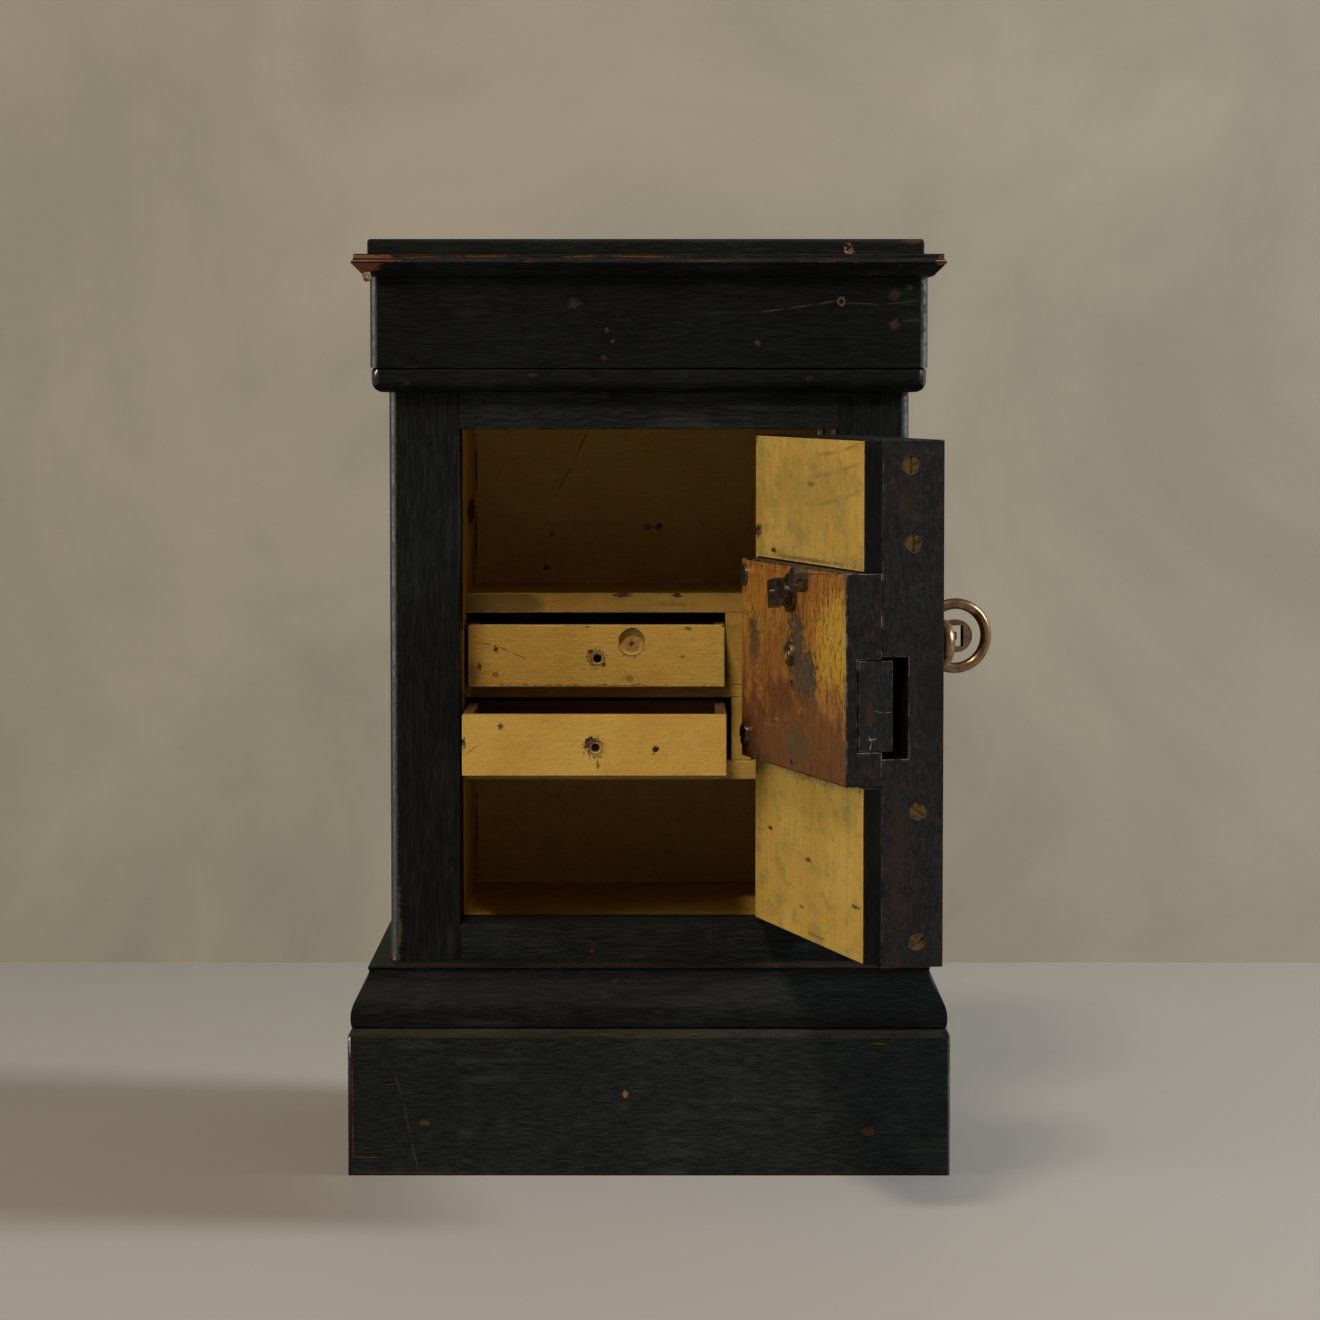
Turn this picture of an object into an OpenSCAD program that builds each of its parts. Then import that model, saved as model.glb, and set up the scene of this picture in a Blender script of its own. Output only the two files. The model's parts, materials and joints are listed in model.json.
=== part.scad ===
// Tabletop safe in ebonised wood, with an iron-bound door, a box lock and a nest of two drawers.
// The origin is the middle of the plinth's footprint, +Z is up and the front faces -Y.
// The door is shown open, both drawers are drawn out, and the bolt is drawn in.

/* [Carcass] */
// Width across the two stiles
body_w = 300; // [280:1:340]
// Depth from the stiles' front to the back panel's rear
body_d = 223; // [216:1:250]
// Width of each front stile
stile_w = 40.5; // [36:0.5:46]
// Depth of the front frame that holds the door
frame_d = 43.8; // [43:0.1:50]
// Thickness of the outer side boards
side_t = 18; // [12:0.5:24]
// Thickness of the back panel
back_t = 12; // [8:0.5:14]
// Thickness of the painted back lining
back_lining_t = 6.5; // [4:0.5:8]
// Thickness of the floor and ceiling linings
lining_t = 8; // [5:0.5:12]
// Thickness of the boards above and below the linings
deck_t = 16; // [10:0.5:18]
// Thickness of the board that closes the foot
base_t = 14; // [8:0.5:20]
// Radius of the body's front arrises
arris_r = 5; // [2:0.5:8]
// Radius of the plinth's front arrises
plinth_arris_r = 2; // [1:0.5:4]

/* [Heights] */
// Height of the plinth's upright face
plinth_h = 80.5; // [60:0.5:100]
// Height of the base moulding above the plinth's chamfer
base_mould_h = 33; // [31:0.5:38]
// Height of the fillet on top of the base moulding
fillet_h = 3.4; // [2.8:0.1:5]
// Rise from the fillet to the sill of the opening
sill_rise = 21.5; // [18:0.5:30]
// Height of the door opening
opening_h = 287; // [270:1:320]
// Rise from the head of the opening to the bead
head_rise = 21.2; // [18:0.2:30]
// Height of the bead under the frieze
bead_h = 14.2; // [10:0.2:18]
// Height of the frieze up to the cap board
frieze_h = 64.9; // [40:0.1:80]
// Height of the cornice moulding
cornice_h = 12.7; // [11:0.1:16]
// Thickness of the cap board
cap_t = 8.7; // [6:0.1:12]

/* [Projections] */
// How far the plinth stands out from the body
plinth_out = 23.8; // [23:0.1:28]
// Height of the chamfer on top of the plinth
chamfer_h = 5; // [3:0.5:7]
// Set-back of that chamfer
chamfer_in = 3.3; // [2:0.1:5]
// How far the base moulding's nose stands out
base_mould_out = 22.2; // [20:0.1:22.5]
// How far the base moulding's top stands out
base_mould_top = 12; // [10:0.5:13]
// Radius of the base moulding's cove
cove_r = 18; // [15:0.5:20]
// How far the fillet laps over the base moulding's top
fillet_lap = 0.6; // [0.4:0.1:1]
// How far the bead stands out
bead_out = 9.5; // [8:0.1:10.4]
// Thickness of the frieze boards
frieze_out = 10.2; // [9:0.1:12]
// How far the cornice's nose stands out
cornice_out = 20.7; // [18:0.1:24]
// How far the cap board stands out
cap_out = 9.8; // [9:0.1:14]
// How far the cap board sits to the left of the middle
cap_shift = 1.8; // [0:0.1:2]

/* [Door] */
// Thickness of the door's ebonised core
core_t = 33.8; // [33:0.1:36]
// Thickness of the painted inner panel
panel_t = 10; // [8:0.5:10]
// Gap between the door's free edge and the left jamb
door_edge_gap = 1.1; // [0.9:0.1:1.5]
// Gap between the door's hinge edge and the right jamb
hinge_edge_gap = 0.9; // [0.8:0.1:1.2]
// Gap above the door
door_top_gap = 3.1; // [2:0.1:4]
// Gap under the door
door_foot_gap = 0.8; // [0.5:0.1:1.5]
// Distance of the pivot from the right jamb
pivot_side = 10.3; // [10.1:0.1:11]
// Distance of the pivot from the door's outer face
pivot_in = 7.6; // [7:0.1:7.6]
// Set-back of the closed door's outer face from the body's front
door_setback = 0.35; // [0.3:0.05:0.5]
// Set-back of the free edge for each millimetre of thickness
edge_bevel = 0.06; // [0.06:0.01:0.08]
// Angle at which the open door stops
door_limit = 104.5; // [90:0.5:104.5]
// How far open the door stands, from shut at 0 to its limit at 1
door_open = 1; // [0:0.05:1]
// Thickness of the iron strip on the free edge
strip_t = 2.5; // [2:0.1:4]
// Diameter of the door's pivot pins
pin_d = 5; // [4:0.5:6]
// Radial running clearance of pins and shanks
run_gap = 0.05; // [0.03:0.01:0.08]

/* [Lock] */
// Set-back of the lock case from the door's free edge
lock_free_in = 4.2; // [4.2:0.1:20]
// Set-back of the lock case from the door's hinge edge
lock_hinge_in = 4.8; // [4:0.1:20]
// Height of the lock case
lock_h = 114.5; // [105:0.5:130]
// Height of the lock case's foot above the sill
lock_rise = 98.3; // [90:0.5:110]
// Thickness of the lock case from the door's core
lock_t = 19.6; // [18:0.2:20]
// Wall thickness of the lock case
lock_wall = 3; // [2:0.5:4]
// Height of the bolt
bolt_h = 48.6; // [40:0.2:56]
// Thickness of the bolt
bolt_t = 19; // [14:0.5:19.5]
// Length of the bolt's head
bolt_head_l = 35; // [30:1:45]
// Height of the bolt's foot above the lock case's foot
bolt_rise = 19; // [15:0.5:24]
// Depth of the bolt's outer face from the door's outer face
bolt_in = 27.6; // [26:0.2:28]
// Travel of the bolt
bolt_throw = 12; // [8:0.5:12]
// Height of the key's axis above the lock case's foot
key_rise = 73.9; // [72:0.5:78]
// Diameter of the key's shank
key_d = 7; // [5:0.5:8]
// Reach of the key's bit from its axis
bit_reach = 12; // [9:0.5:12]
// Outer diameter of the key's ring bow
bow_d = 42.2; // [36:0.2:48]
// Thickness of the bow's round bar
bow_wire = 6.1; // [4:0.1:7]
// Diameter of the bow's inner eye
eye_d = 18.4; // [15:0.2:20]
// Distance of the bow's middle from the door's outer face
bow_out = 42; // [38:1:50]
// Diameter of the door's pull knob
knob_d = 26.2; // [20:0.2:32]
// How far the pull knob stands out
knob_out = 19; // [14:0.5:26]
// Distance of the pull knob from the pivot
knob_reach = 160; // [140:1:175]

/* [Drawer nest] */
// Depth of the nest's front behind the body's front
nest_in = 80; // [74:1:84]
// Height of the bottom shelf's top above the sill
low_shelf_rise = 88.1; // [70:0.5:100]
// Thickness of the bottom shelf
low_shelf_t = 11.4; // [8:0.2:14]
// Thickness of the middle shelf
mid_shelf_t = 7.3; // [5:0.1:10]
// Thickness of the top shelf
top_shelf_t = 12; // [8:0.2:15]
// Height of the lower drawer
low_drawer_h = 35; // [28:0.5:45]
// Height of the upper drawer
up_drawer_h = 36.8; // [28:0.2:48]
// Clear height above the lower drawer
low_drawer_head = 2.5; // [1:0.1:4]
// Clear height above the upper drawer
up_drawer_head = 6; // [1:0.1:8]
// Room between both drawers and the right wall
side_room = 64.8; // [60:0.1:90]
// Length of both drawers
drawer_l = 118; // [100:1:120]
// Gap between each drawer and the left wall
drawer_gap = 2.2; // [0.5:0.1:3]
// Thickness of the drawer fronts
drawer_front_t = 9; // [6:0.5:12]
// Thickness of the drawer sides and backs
drawer_side_t = 6; // [4:0.5:8]
// Thickness of the drawer bottoms
drawer_floor_t = 4; // [3:0.5:6]
// Width of the upright boards beside the drawers
cheek_t = 12; // [8:0.5:16]
// How much wider the lower bay is than the upper one
low_bay_extra = 3.6; // [2:0.2:5]
// How far the upper drawer stands out of the nest
up_drawer_out = 23; // [0:1:24]
// How far the lower drawer stands out of the nest with the door wide open
low_drawer_out = 104; // [0:1:104]

/* [Hidden] */

// Colours of the finishes
ebony = "#16120f";
ochre = "#a8803a";
deal = "#7a5630";
iron = "#1d1b1a";
steel = "#5d5a55";
brass = "#8f6d33";
lock_paint = "#8a4a1c";

// Facets of round sections, where nothing else is said
$fn = 48;
fine_fn = 96;
arc_steps = 12;

// Small amounts used to cut cleanly and to keep fixed and sliding faces apart
cut = 1;
seat_gap = 0.35;
slide_gap = 0.3;

// Wood screws: shank, its pilot hole, and the slot of each head
shank_d = 3.9;
pilot_d = 4;
pilot_spare = 1;
slot_w = 1.4;
slot_depth = 0.8;

// Planes of the body
front_y = plinth_out / 2 - body_d / 2;
back_y = front_y + body_d;
half_w = body_w / 2;
jamb_x = half_w - stile_w;
frame_y = front_y + frame_d;
lining_y = back_y - back_t - back_lining_t;
mould_z = plinth_h + chamfer_h;
fillet_z = mould_z + base_mould_h;
sill_z = fillet_z + fillet_h + sill_rise;
head_z = sill_z + opening_h;
bead_z = head_z + head_rise;
frieze_z = bead_z + bead_h;
cap_z = frieze_z + frieze_h;
mitre_reach = 2 * plinth_out;

// The door's own frame has its origin on the pivot: x runs towards the hinge edge, y inwards
pivot_x = jamb_x - pivot_side;
pivot_y = front_y + door_setback + pivot_in;
outer_y = -pivot_in;
core_y = outer_y + core_t;
panel_y = core_y + panel_t;
lock_y = core_y + lock_t;
hinge_reach = pivot_side - hinge_edge_gap;
door_reach = pivot_x + jamb_x - door_edge_gap;
door_z0 = sill_z + door_foot_gap;
door_z1 = head_z - door_top_gap;
panel_rise = 1.9;
panel_z0 = door_z0 + panel_rise;
plate_l = 24;
plate_w = 9;
plate_t = 2;
plate_in = 2;
pin_depth = 8;
bush_d = 10;
bush_l = 10;

// The lock case, and the screws that hold it
lock_z0 = sill_z + lock_rise;
lock_z1 = lock_z0 + lock_h;
lock_x0 = lock_free_in - door_reach;
lock_x1 = hinge_reach - lock_hinge_in;
lock_mid = (lock_x0 + lock_x1) / 2;
forend_x = -door_reach + edge_bevel * core_t;
case_screw_x = lock_x1 - 8;
case_screw_z = [lock_z0 + 13, lock_z1 - 9.5];
case_screw_turn = [25, 0];
case_screw_l = 7;
screw_head_d = 12.5;
screw_head_t = 1.8;
small_hole_d = 3;
small_hole_z = [lock_z0 + 4.2, lock_z0 + 48.6];

// The bolt, its pocket and its tail
bolt_show = 1.2;
bolt_x0 = lock_x0 - bolt_show;
bolt_x1 = bolt_x0 + bolt_head_l;
bolt_y0 = outer_y + bolt_in;
bolt_y1 = bolt_y0 + bolt_t;
bolt_z0 = lock_z0 + bolt_rise;
bolt_z1 = bolt_z0 + bolt_h;
pocket_in = 8.3;
pocket_y0 = bolt_y0 - pocket_in;
pocket_rim = 4.2;
pocket_spare = 2;
tail_in = 2.4;
tail_y0 = core_y + tail_in;
tail_t = 3.6;
tail_foot = 6;
tail_head = 2.6;
tail_reach = 30;
notch_gap = 1;

// The key
key_z = lock_z0 + key_rise;
bit_in = 2;
bit_w = 11;
bit_t = 3;
key_tip_d = 4;
tip_gap = 0.6;
eye_t = 5;
eye_hole = [7.9, 11.8];
bow_neck_d = 4.8;
bow_stub_l = 4.2;
bow_foot = 3;
shoulder_d = 10.5;
shoulder_t = 3.5;
shoulder_out = 2;

// The bolt through the door, its dome, collar and nut
through_rise = 25.4;
through_z = key_z + through_rise;
through_d = 6;
dome_r = 13;
dome_h = 3;
collar_d = 21.7;
collar_t = 2.5;
neck_d = 12;
neck_t = 4;
nut_w = 15.5;
nut_t = 5.5;
nut_turn = 8;
thread_out = 1.5;

// The hexagon-headed screw
hex_out = 26.5;
hex_rise = 8.5;
hex_x = lock_mid - hex_out;
hex_z = through_z + hex_rise;
hex_d = 14;
hex_t = 8;
hex_turn = 30;
hex_hole_d = 5;

// The levers and their post
post_in = 42;
post_x = lock_mid + post_in;
post_d = 6;
lever_count = 3;
lever_t = 1.6;
lever_gap = 0.5;
lever_l = 76;
lever_h = 8;
lever_rim = 2;
lever_lift = 0.9;
lever_z = key_z + bit_reach + lever_lift;
gate_out = 26;
gate_w = 8;
gate_depth = 3;

// Screws of the iron strip: distances down from the door's head and in from its outer face
strip_screw_d = 9.1;
strip_screw_l = 11;
strip_screw_z = [13.4, 55.2, 198.8, 269.2];
strip_screw_in = [18.6, 17, 14.1, 14.1];
strip_screw_turn = [90, 90, 38, -32];

// The pull knob: rose, stem, head and screw
rose_r = 9;
rose_t = 2;
stem_r = 4.5;
knob_head_t = 9;
knob_screw_l = 18;

// Places in the nest
nest_y = front_y + nest_in;
low_shelf_z = sill_z + low_shelf_rise;
low_drawer_z = low_shelf_z + seat_gap;
mid_shelf_z = low_drawer_z + low_drawer_h + low_drawer_head;
up_drawer_z = mid_shelf_z + mid_shelf_t + seat_gap;
top_shelf_z = up_drawer_z + up_drawer_h + up_drawer_head;
drawer_x0 = -jamb_x + drawer_gap;
drawer_x1 = jamb_x - side_room;
bay_gap = 0.6;
up_bay_x = drawer_x1 + bay_gap;
low_bay_x = up_bay_x + low_bay_extra;

// Holes in the drawer fronts
knob_hole_x = -30.7;
knob_hole_d = 5;
up_knob_hole_rise = 16.9;
low_knob_hole_rise = 16.1;
recess_d = 14.8;
recess_depth = 3.5;
recess_x = -10.3;
recess_drop = 9.6;
nail_hole_d = 3;
nail_hole_x = 4;
nail_hole_rise = 15;
nail_hole_depth = 5;

// A bar with the given profile, along the front, mitred at both corners
module front_bar() {
    intersection() {
        translate([0, front_y, 0]) rotate([90, 0, -90])
            linear_extrude(body_w + 2 * mitre_reach, center = true) children();
        linear_extrude(cap_z + cap_t) polygon([
            [-half_w - mitre_reach, front_y - mitre_reach], [half_w + mitre_reach, front_y - mitre_reach],
            [half_w, front_y], [-half_w, front_y]]);
    }
}

// The same bar along the right side, mitred at the front and square at the back
module right_bar() {
    intersection() {
        translate([half_w, back_y, 0]) rotate([90, 0, 0])
            linear_extrude(body_d + mitre_reach) children();
        linear_extrude(cap_z + cap_t) polygon([
            [half_w, front_y], [half_w + mitre_reach, front_y - mitre_reach],
            [half_w + mitre_reach, back_y], [half_w, back_y]]);
    }
}

module left_bar() {
    mirror([1, 0, 0]) right_bar() children();
}

// The plan of the body grown by a projection, with both front corners rounded
module rounded_plan(out, r) {
    linear_extrude(cap_z + cap_t) difference() {
        translate([-half_w - out, front_y - out]) square([body_w + 2 * out, body_d + out]);
        for (side = [-1, 1]) translate([side * (half_w + out - r), front_y - out + r]) difference() {
            translate([side > 0 ? 0 : -r - cut, -r - cut]) square([r + cut, r + cut]);
            circle(r);
        }
    }
}

module with_round_corner(out, r) {
    intersection() {
        children();
        rounded_plan(out, r);
    }
}

// A board given by its two opposite corners
module board(low, high) {
    translate(low) cube(high - low);
}

// Profiles, as distance out from the body against height
module plinth_profile() {
    polygon([[0, 0], [plinth_out, 0], [plinth_out, plinth_h],
        [plinth_out - chamfer_in, mould_z], [0, mould_z]]);
}

// Points on an arc, from one angle to another
function arc_points(middle, r, from, to) = [
    for (i = [0:arc_steps]) let (turn = from + (to - from) * i / arc_steps)
        middle + r * [cos(turn), sin(turn)]];

// A cyma, whose cove runs straight into a full nose, with a sloping fillet on top
module base_moulding_profile() {
    nose_r = 21;
    nose_rise = 5.5;
    bend = 30;
    fillet_fall = 1.7;
    fillet_out = base_mould_top + fillet_lap;
    polygon(concat([[0, mould_z]],
        arc_points([base_mould_out - nose_r, mould_z + nose_rise], nose_r, -asin(nose_rise / nose_r), bend),
        arc_points([base_mould_top + cove_r, fillet_z], cove_r, 180 + bend, 180),
        [[fillet_out, fillet_z], [fillet_out, fillet_z + fillet_h - fillet_fall], [0, fillet_z + fillet_h]]));
}

// A bead that is full below and only eased at its top
module bead_profile() {
    low_r = bead_h / 2;
    top_r = 2.5;
    translate([0, bead_z]) square([bead_out - low_r, bead_h]);
    translate([bead_out - low_r, bead_z + low_r]) circle(low_r);
    translate([0, bead_z + low_r]) square([bead_out, low_r - top_r]);
    translate([0, bead_z + low_r]) square([bead_out - top_r, low_r]);
    translate([bead_out - top_r, frieze_z - top_r]) circle(top_r);
}

module frieze_profile() {
    translate([0, frieze_z]) square([frieze_out, cap_z - frieze_z]);
}

// A cove under a rounded nose, with a short upright lip on top
module cornice_profile() {
    foot_z = cap_z - cornice_h;
    foot_out = frieze_out + 2.8;
    nose_z = foot_z + 7.9;
    lip_out = cornice_out - 1.8;
    lip_z = nose_z + 1.6;
    cove_r = 6.4;
    cove_z = foot_z - 1.5;
    difference() {
        polygon([[frieze_out, foot_z], [foot_out, foot_z], [cornice_out, nose_z],
            [lip_out, lip_z], [lip_out, cap_z], [frieze_out, cap_z]]);
        translate([cornice_out, cove_z]) circle(cove_r);
    }
}

// Plinth and base
module plinth_front() {
    color(ebony) with_round_corner(plinth_out, plinth_arris_r) front_bar() plinth_profile();
}
module plinth_right() {
    color(ebony) with_round_corner(plinth_out, plinth_arris_r) right_bar() plinth_profile();
}
module plinth_left() { mirror([1, 0, 0]) plinth_right(); }

module base_board() {
    color(deal) board([side_t - half_w, frame_y, 0], [half_w - side_t, back_y - back_t, base_t]);
}

module base_moulding_front() { color(ebony) front_bar() base_moulding_profile(); }
module base_moulding_right() { color(ebony) right_bar() base_moulding_profile(); }
module base_moulding_left() { color(ebony) left_bar() base_moulding_profile(); }

// Front frame
module stile(side) {
    low_x = side > 0 ? jamb_x : -half_w;
    intersection() {
        board([low_x, front_y, 0], [low_x + stile_w, frame_y, cap_z]);
        rounded_plan(0, arris_r);
    }
}

// The pocket that the thrown bolt enters, in the stile and the lining behind it
module keeper_pocket() {
    low_y = pivot_y + bolt_y0 - cut;
    board([-jamb_x - bolt_throw - pocket_spare, low_y, bolt_z0 - pocket_rim],
        [-jamb_x + cut, low_y + bolt_t + 2 * cut, bolt_z1 + pocket_spare]);
}

module left_stile() {
    color(ebony) difference() {
        stile(-1);
        keeper_pocket();
    }
}

module right_stile() { color(ebony) stile(1); }

// The hole in a rail that a pivot bush sits in
module bush_seat(face_z, up) {
    translate([pivot_x, pivot_y, up ? face_z - cut : face_z - bush_l])
        cylinder(h = bush_l + cut, d = bush_d);
}

module bottom_rail() {
    color(ebony) difference() {
        board([-jamb_x, front_y, 0], [jamb_x, frame_y, sill_z]);
        bush_seat(sill_z, false);
    }
}

module top_rail() {
    color(ebony) difference() {
        board([-jamb_x, front_y, head_z], [jamb_x, frame_y, cap_z]);
        bush_seat(head_z, true);
    }
}

module hinge_sockets() {
    color(steel) for (z = [sill_z - bush_l, head_z]) translate([pivot_x, pivot_y, z]) difference() {
        cylinder(h = bush_l, d = bush_d);
        translate([0, 0, -cut]) cylinder(h = bush_l + 2 * cut, d = pin_d + 2 * run_gap);
    }
}

// Carcass boards and linings
module left_side() {
    color(ebony) board([-half_w, frame_y, 0], [side_t - half_w, back_y - back_t, cap_z]);
}

module right_side() { mirror([1, 0, 0]) left_side(); }

module back_panel() {
    color(ebony) board([-half_w, back_y - back_t, 0], [half_w, back_y, cap_z]);
}

module deck(low_z) {
    board([side_t - half_w, frame_y, low_z], [half_w - side_t, back_y - back_t, low_z + deck_t]);
}

module bottom_deck() { color(deal) deck(sill_z - lining_t - deck_t); }
module top_deck() { color(deal) deck(head_z + lining_t); }

module flat_lining(low_z) {
    board([side_t - half_w, frame_y, low_z], [half_w - side_t, back_y - back_t, low_z + lining_t]);
}

module floor_lining() { color(ochre) flat_lining(sill_z - lining_t); }
module ceiling_lining() { color(ochre) flat_lining(head_z); }

module left_lining() {
    color(ochre) difference() {
        board([side_t - half_w, frame_y, sill_z], [-jamb_x, lining_y, head_z]);
        keeper_pocket();
    }
}

module right_lining() {
    color(ochre) board([jamb_x, frame_y, sill_z], [half_w - side_t, lining_y, head_z]);
}

module back_lining() {
    color(ochre) board([side_t - half_w, lining_y, sill_z],
        [half_w - side_t, back_y - back_t, head_z]);
}

// Bead, frieze, cornice and cap
module bead_front() { color(ebony) with_round_corner(bead_out, arris_r) front_bar() bead_profile(); }
module bead_right() { color(ebony) with_round_corner(bead_out, arris_r) right_bar() bead_profile(); }
module bead_left() { mirror([1, 0, 0]) bead_right(); }

module frieze_front() {
    color(ebony) with_round_corner(frieze_out, arris_r) front_bar() frieze_profile();
}
module frieze_right() {
    color(ebony) with_round_corner(frieze_out, arris_r) right_bar() frieze_profile();
}
module frieze_left() { mirror([1, 0, 0]) frieze_right(); }

module cornice_front() { color(ebony) front_bar() cornice_profile(); }
module cornice_right() { color(ebony) right_bar() cornice_profile(); }
module cornice_left() { color(ebony) left_bar() cornice_profile(); }

module cap_board() {
    r = 2;
    low = [-half_w - cap_out - cap_shift, front_y - cap_out, cap_z];
    high = [half_w + cap_out - cap_shift, back_y, cap_z + cap_t];
    color(ebony) intersection() {
        board(low, high);
        translate([0, back_y, 0]) rotate([90, 0, 0]) linear_extrude(body_d + cap_out)
            eased_top(low[0], high[0], r);
        translate([high[0], 0, 0]) rotate([90, 0, -90]) linear_extrude(high[0] - low[0])
            eased_top(-back_y - 2 * r, -low[1], r);
    }
}

// An upright rectangle at the cap's height whose top corners are rounded
module eased_top(low, high, r) {
    translate([low, cap_z]) square([high - low, cap_t - r]);
    translate([low + r, cap_z]) square([high - low - 2 * r, cap_t]);
    for (x = [low + r, high - r]) translate([x, cap_z + cap_t - r]) circle(r);
}

// Nest of drawers
module shelf(top_z, t) {
    color(ochre) board([-jamb_x, nest_y, top_z - t], [jamb_x, lining_y, top_z]);
}

module bottom_shelf() { shelf(low_shelf_z, low_shelf_t); }
module middle_shelf() { shelf(mid_shelf_z + mid_shelf_t, mid_shelf_t); }
module top_shelf() { shelf(top_shelf_z + top_shelf_t, top_shelf_t); }

module lower_cheek() {
    color(ochre) board([low_bay_x, nest_y, low_shelf_z], [low_bay_x + cheek_t, lining_y, mid_shelf_z]);
}

module upper_cheek() {
    color(ochre) board([up_bay_x, nest_y, mid_shelf_z + mid_shelf_t],
        [up_bay_x + cheek_t, lining_y, top_shelf_z]);
}

// Door parts are drawn closed, in the door's own frame, and turned to where the door stands
module on_door() {
    translate([pivot_x, pivot_y, 0]) rotate([0, 0, door_limit * door_open]) children();
}

// The free edge leans back with depth, so that it clears the jamb as it swings
function edge_x(y) = -door_reach + edge_bevel * (y - outer_y);

module core_plan() {
    polygon([[0, outer_y], [0, core_y], [edge_x(core_y) + strip_t, core_y],
        [edge_x(outer_y) + strip_t, outer_y]]);
    square([hinge_reach, core_y]);
    intersection() {
        circle(hinge_reach, $fn = fine_fn);
        translate([-cut, outer_y]) square([hinge_reach + cut, pivot_in]);
    }
}

// Room for the bolt in the core and the strip
module bolt_pocket() {
    board([-door_reach - cut, pocket_y0, bolt_z0 - pocket_rim],
        [bolt_x1 + pocket_spare, core_y + cut, bolt_z1 + pocket_spare]);
}

// A rod or hole along the door's thickness
module across(x, z, d, y0, y1) {
    translate([x, y0, z]) rotate([-90, 0, 0]) cylinder(h = y1 - y0, d = d);
}

// A pilot hole for a screw of the lock case
module case_pilot(x, z) {
    across(x, z, pilot_d, core_y - case_screw_l - pilot_spare, core_y + cut);
}

module door_core() {
    color(ebony) on_door() difference() {
        translate([0, 0, door_z0]) linear_extrude(door_z1 - door_z0) core_plan();
        bolt_pocket();
        across(lock_mid, key_z, key_d + 2 * run_gap, outer_y - cut, core_y + cut);
        across(lock_mid, through_z, through_d, outer_y - cut, core_y + cut);
        across(-knob_reach, key_z, pilot_d, outer_y - cut, outer_y + knob_screw_l + pilot_spare);
        for (z = [door_z0 - cut, door_z1 - plate_t]) pivot_plate(z, plate_t + cut);
        for (i = [0:len(strip_screw_z) - 1]) on_edge(i)
            cylinder(h = strip_screw_l + pilot_spare, d = pilot_d);
        for (z = case_screw_z) case_pilot(case_screw_x, z);
        case_pilot(hex_x, hex_z);
    }
}

module door_panel() {
    clearance = 0.2;
    color(ochre) on_door() difference() {
        translate([0, 0, panel_z0]) linear_extrude(door_z1 - panel_z0) polygon([
            [hinge_reach, core_y], [hinge_reach, panel_y],
            [edge_x(panel_y), panel_y], [edge_x(core_y), core_y]]);
        board([-door_reach - cut, core_y - cut, lock_z0 - clearance],
            [lock_x1 + clearance, panel_y + cut, lock_z1 + clearance]);
    }
}

// Where a screw of the strip enters, square to the free edge
module on_edge(i) {
    y = outer_y + strip_screw_in[i];
    translate([edge_x(y), y, door_z1 - strip_screw_z[i]])
        rotate([0, 0, -atan(edge_bevel)]) rotate([0, 90, 0]) children();
}

module edge_strip() {
    color(iron) on_door() difference() {
        translate([0, 0, door_z0]) linear_extrude(door_z1 - door_z0) polygon([
            [edge_x(outer_y), outer_y], [edge_x(outer_y) + strip_t, outer_y],
            [edge_x(core_y) + strip_t, core_y], [edge_x(core_y), core_y]]);
        bolt_pocket();
        for (i = [0:len(strip_screw_z) - 1]) on_edge(i) translate([0, 0, -cut])
            cylinder(h = strip_t + 2 * cut, d = strip_screw_d + 2 * run_gap);
    }
}

// The slot of a screw head that lies on the plane z = 0
module screw_slot(d, turn) {
    rotate([0, 0, turn]) cube([slot_w, d + cut, 2 * slot_depth], center = true);
}

module edge_screws() {
    color(brass) on_door() for (i = [0:len(strip_screw_z) - 1]) on_edge(i) difference() {
        union() {
            cylinder(h = strip_t * cos(atan(edge_bevel)), d = strip_screw_d);
            cylinder(h = strip_screw_l, d = shank_d);
        }
        screw_slot(strip_screw_d, strip_screw_turn[i]);
    }
}

// A plate let into the door's end, under or over its pin
module pivot_plate(z, t) {
    translate([hinge_reach - plate_in - plate_l, -plate_w / 2, z]) cube([plate_l, plate_w, t]);
}

module hinge_pins() {
    color(steel) on_door() {
        pivot_plate(door_z0, plate_t);
        translate([0, 0, door_z0 - door_foot_gap - pin_depth])
            cylinder(h = pin_depth + door_foot_gap + plate_t / 2, d = pin_d);
        pivot_plate(door_z1 - plate_t, plate_t);
        translate([0, 0, door_z1 - plate_t / 2])
            cylinder(h = plate_t / 2 + door_top_gap + pin_depth, d = pin_d);
    }
}

// Lock
module lock_plan(inset, foot_y) {
    polygon([[lock_x1 - inset, foot_y], [lock_x1 - inset, lock_y - inset],
        [lock_x0 + inset, lock_y - inset], [forend_x + inset, foot_y]]);
}

// A hole through the lock case's face
module face_hole(x, z, d) {
    across(x, z, d, lock_y - lock_wall - cut, lock_y + cut);
}

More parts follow.
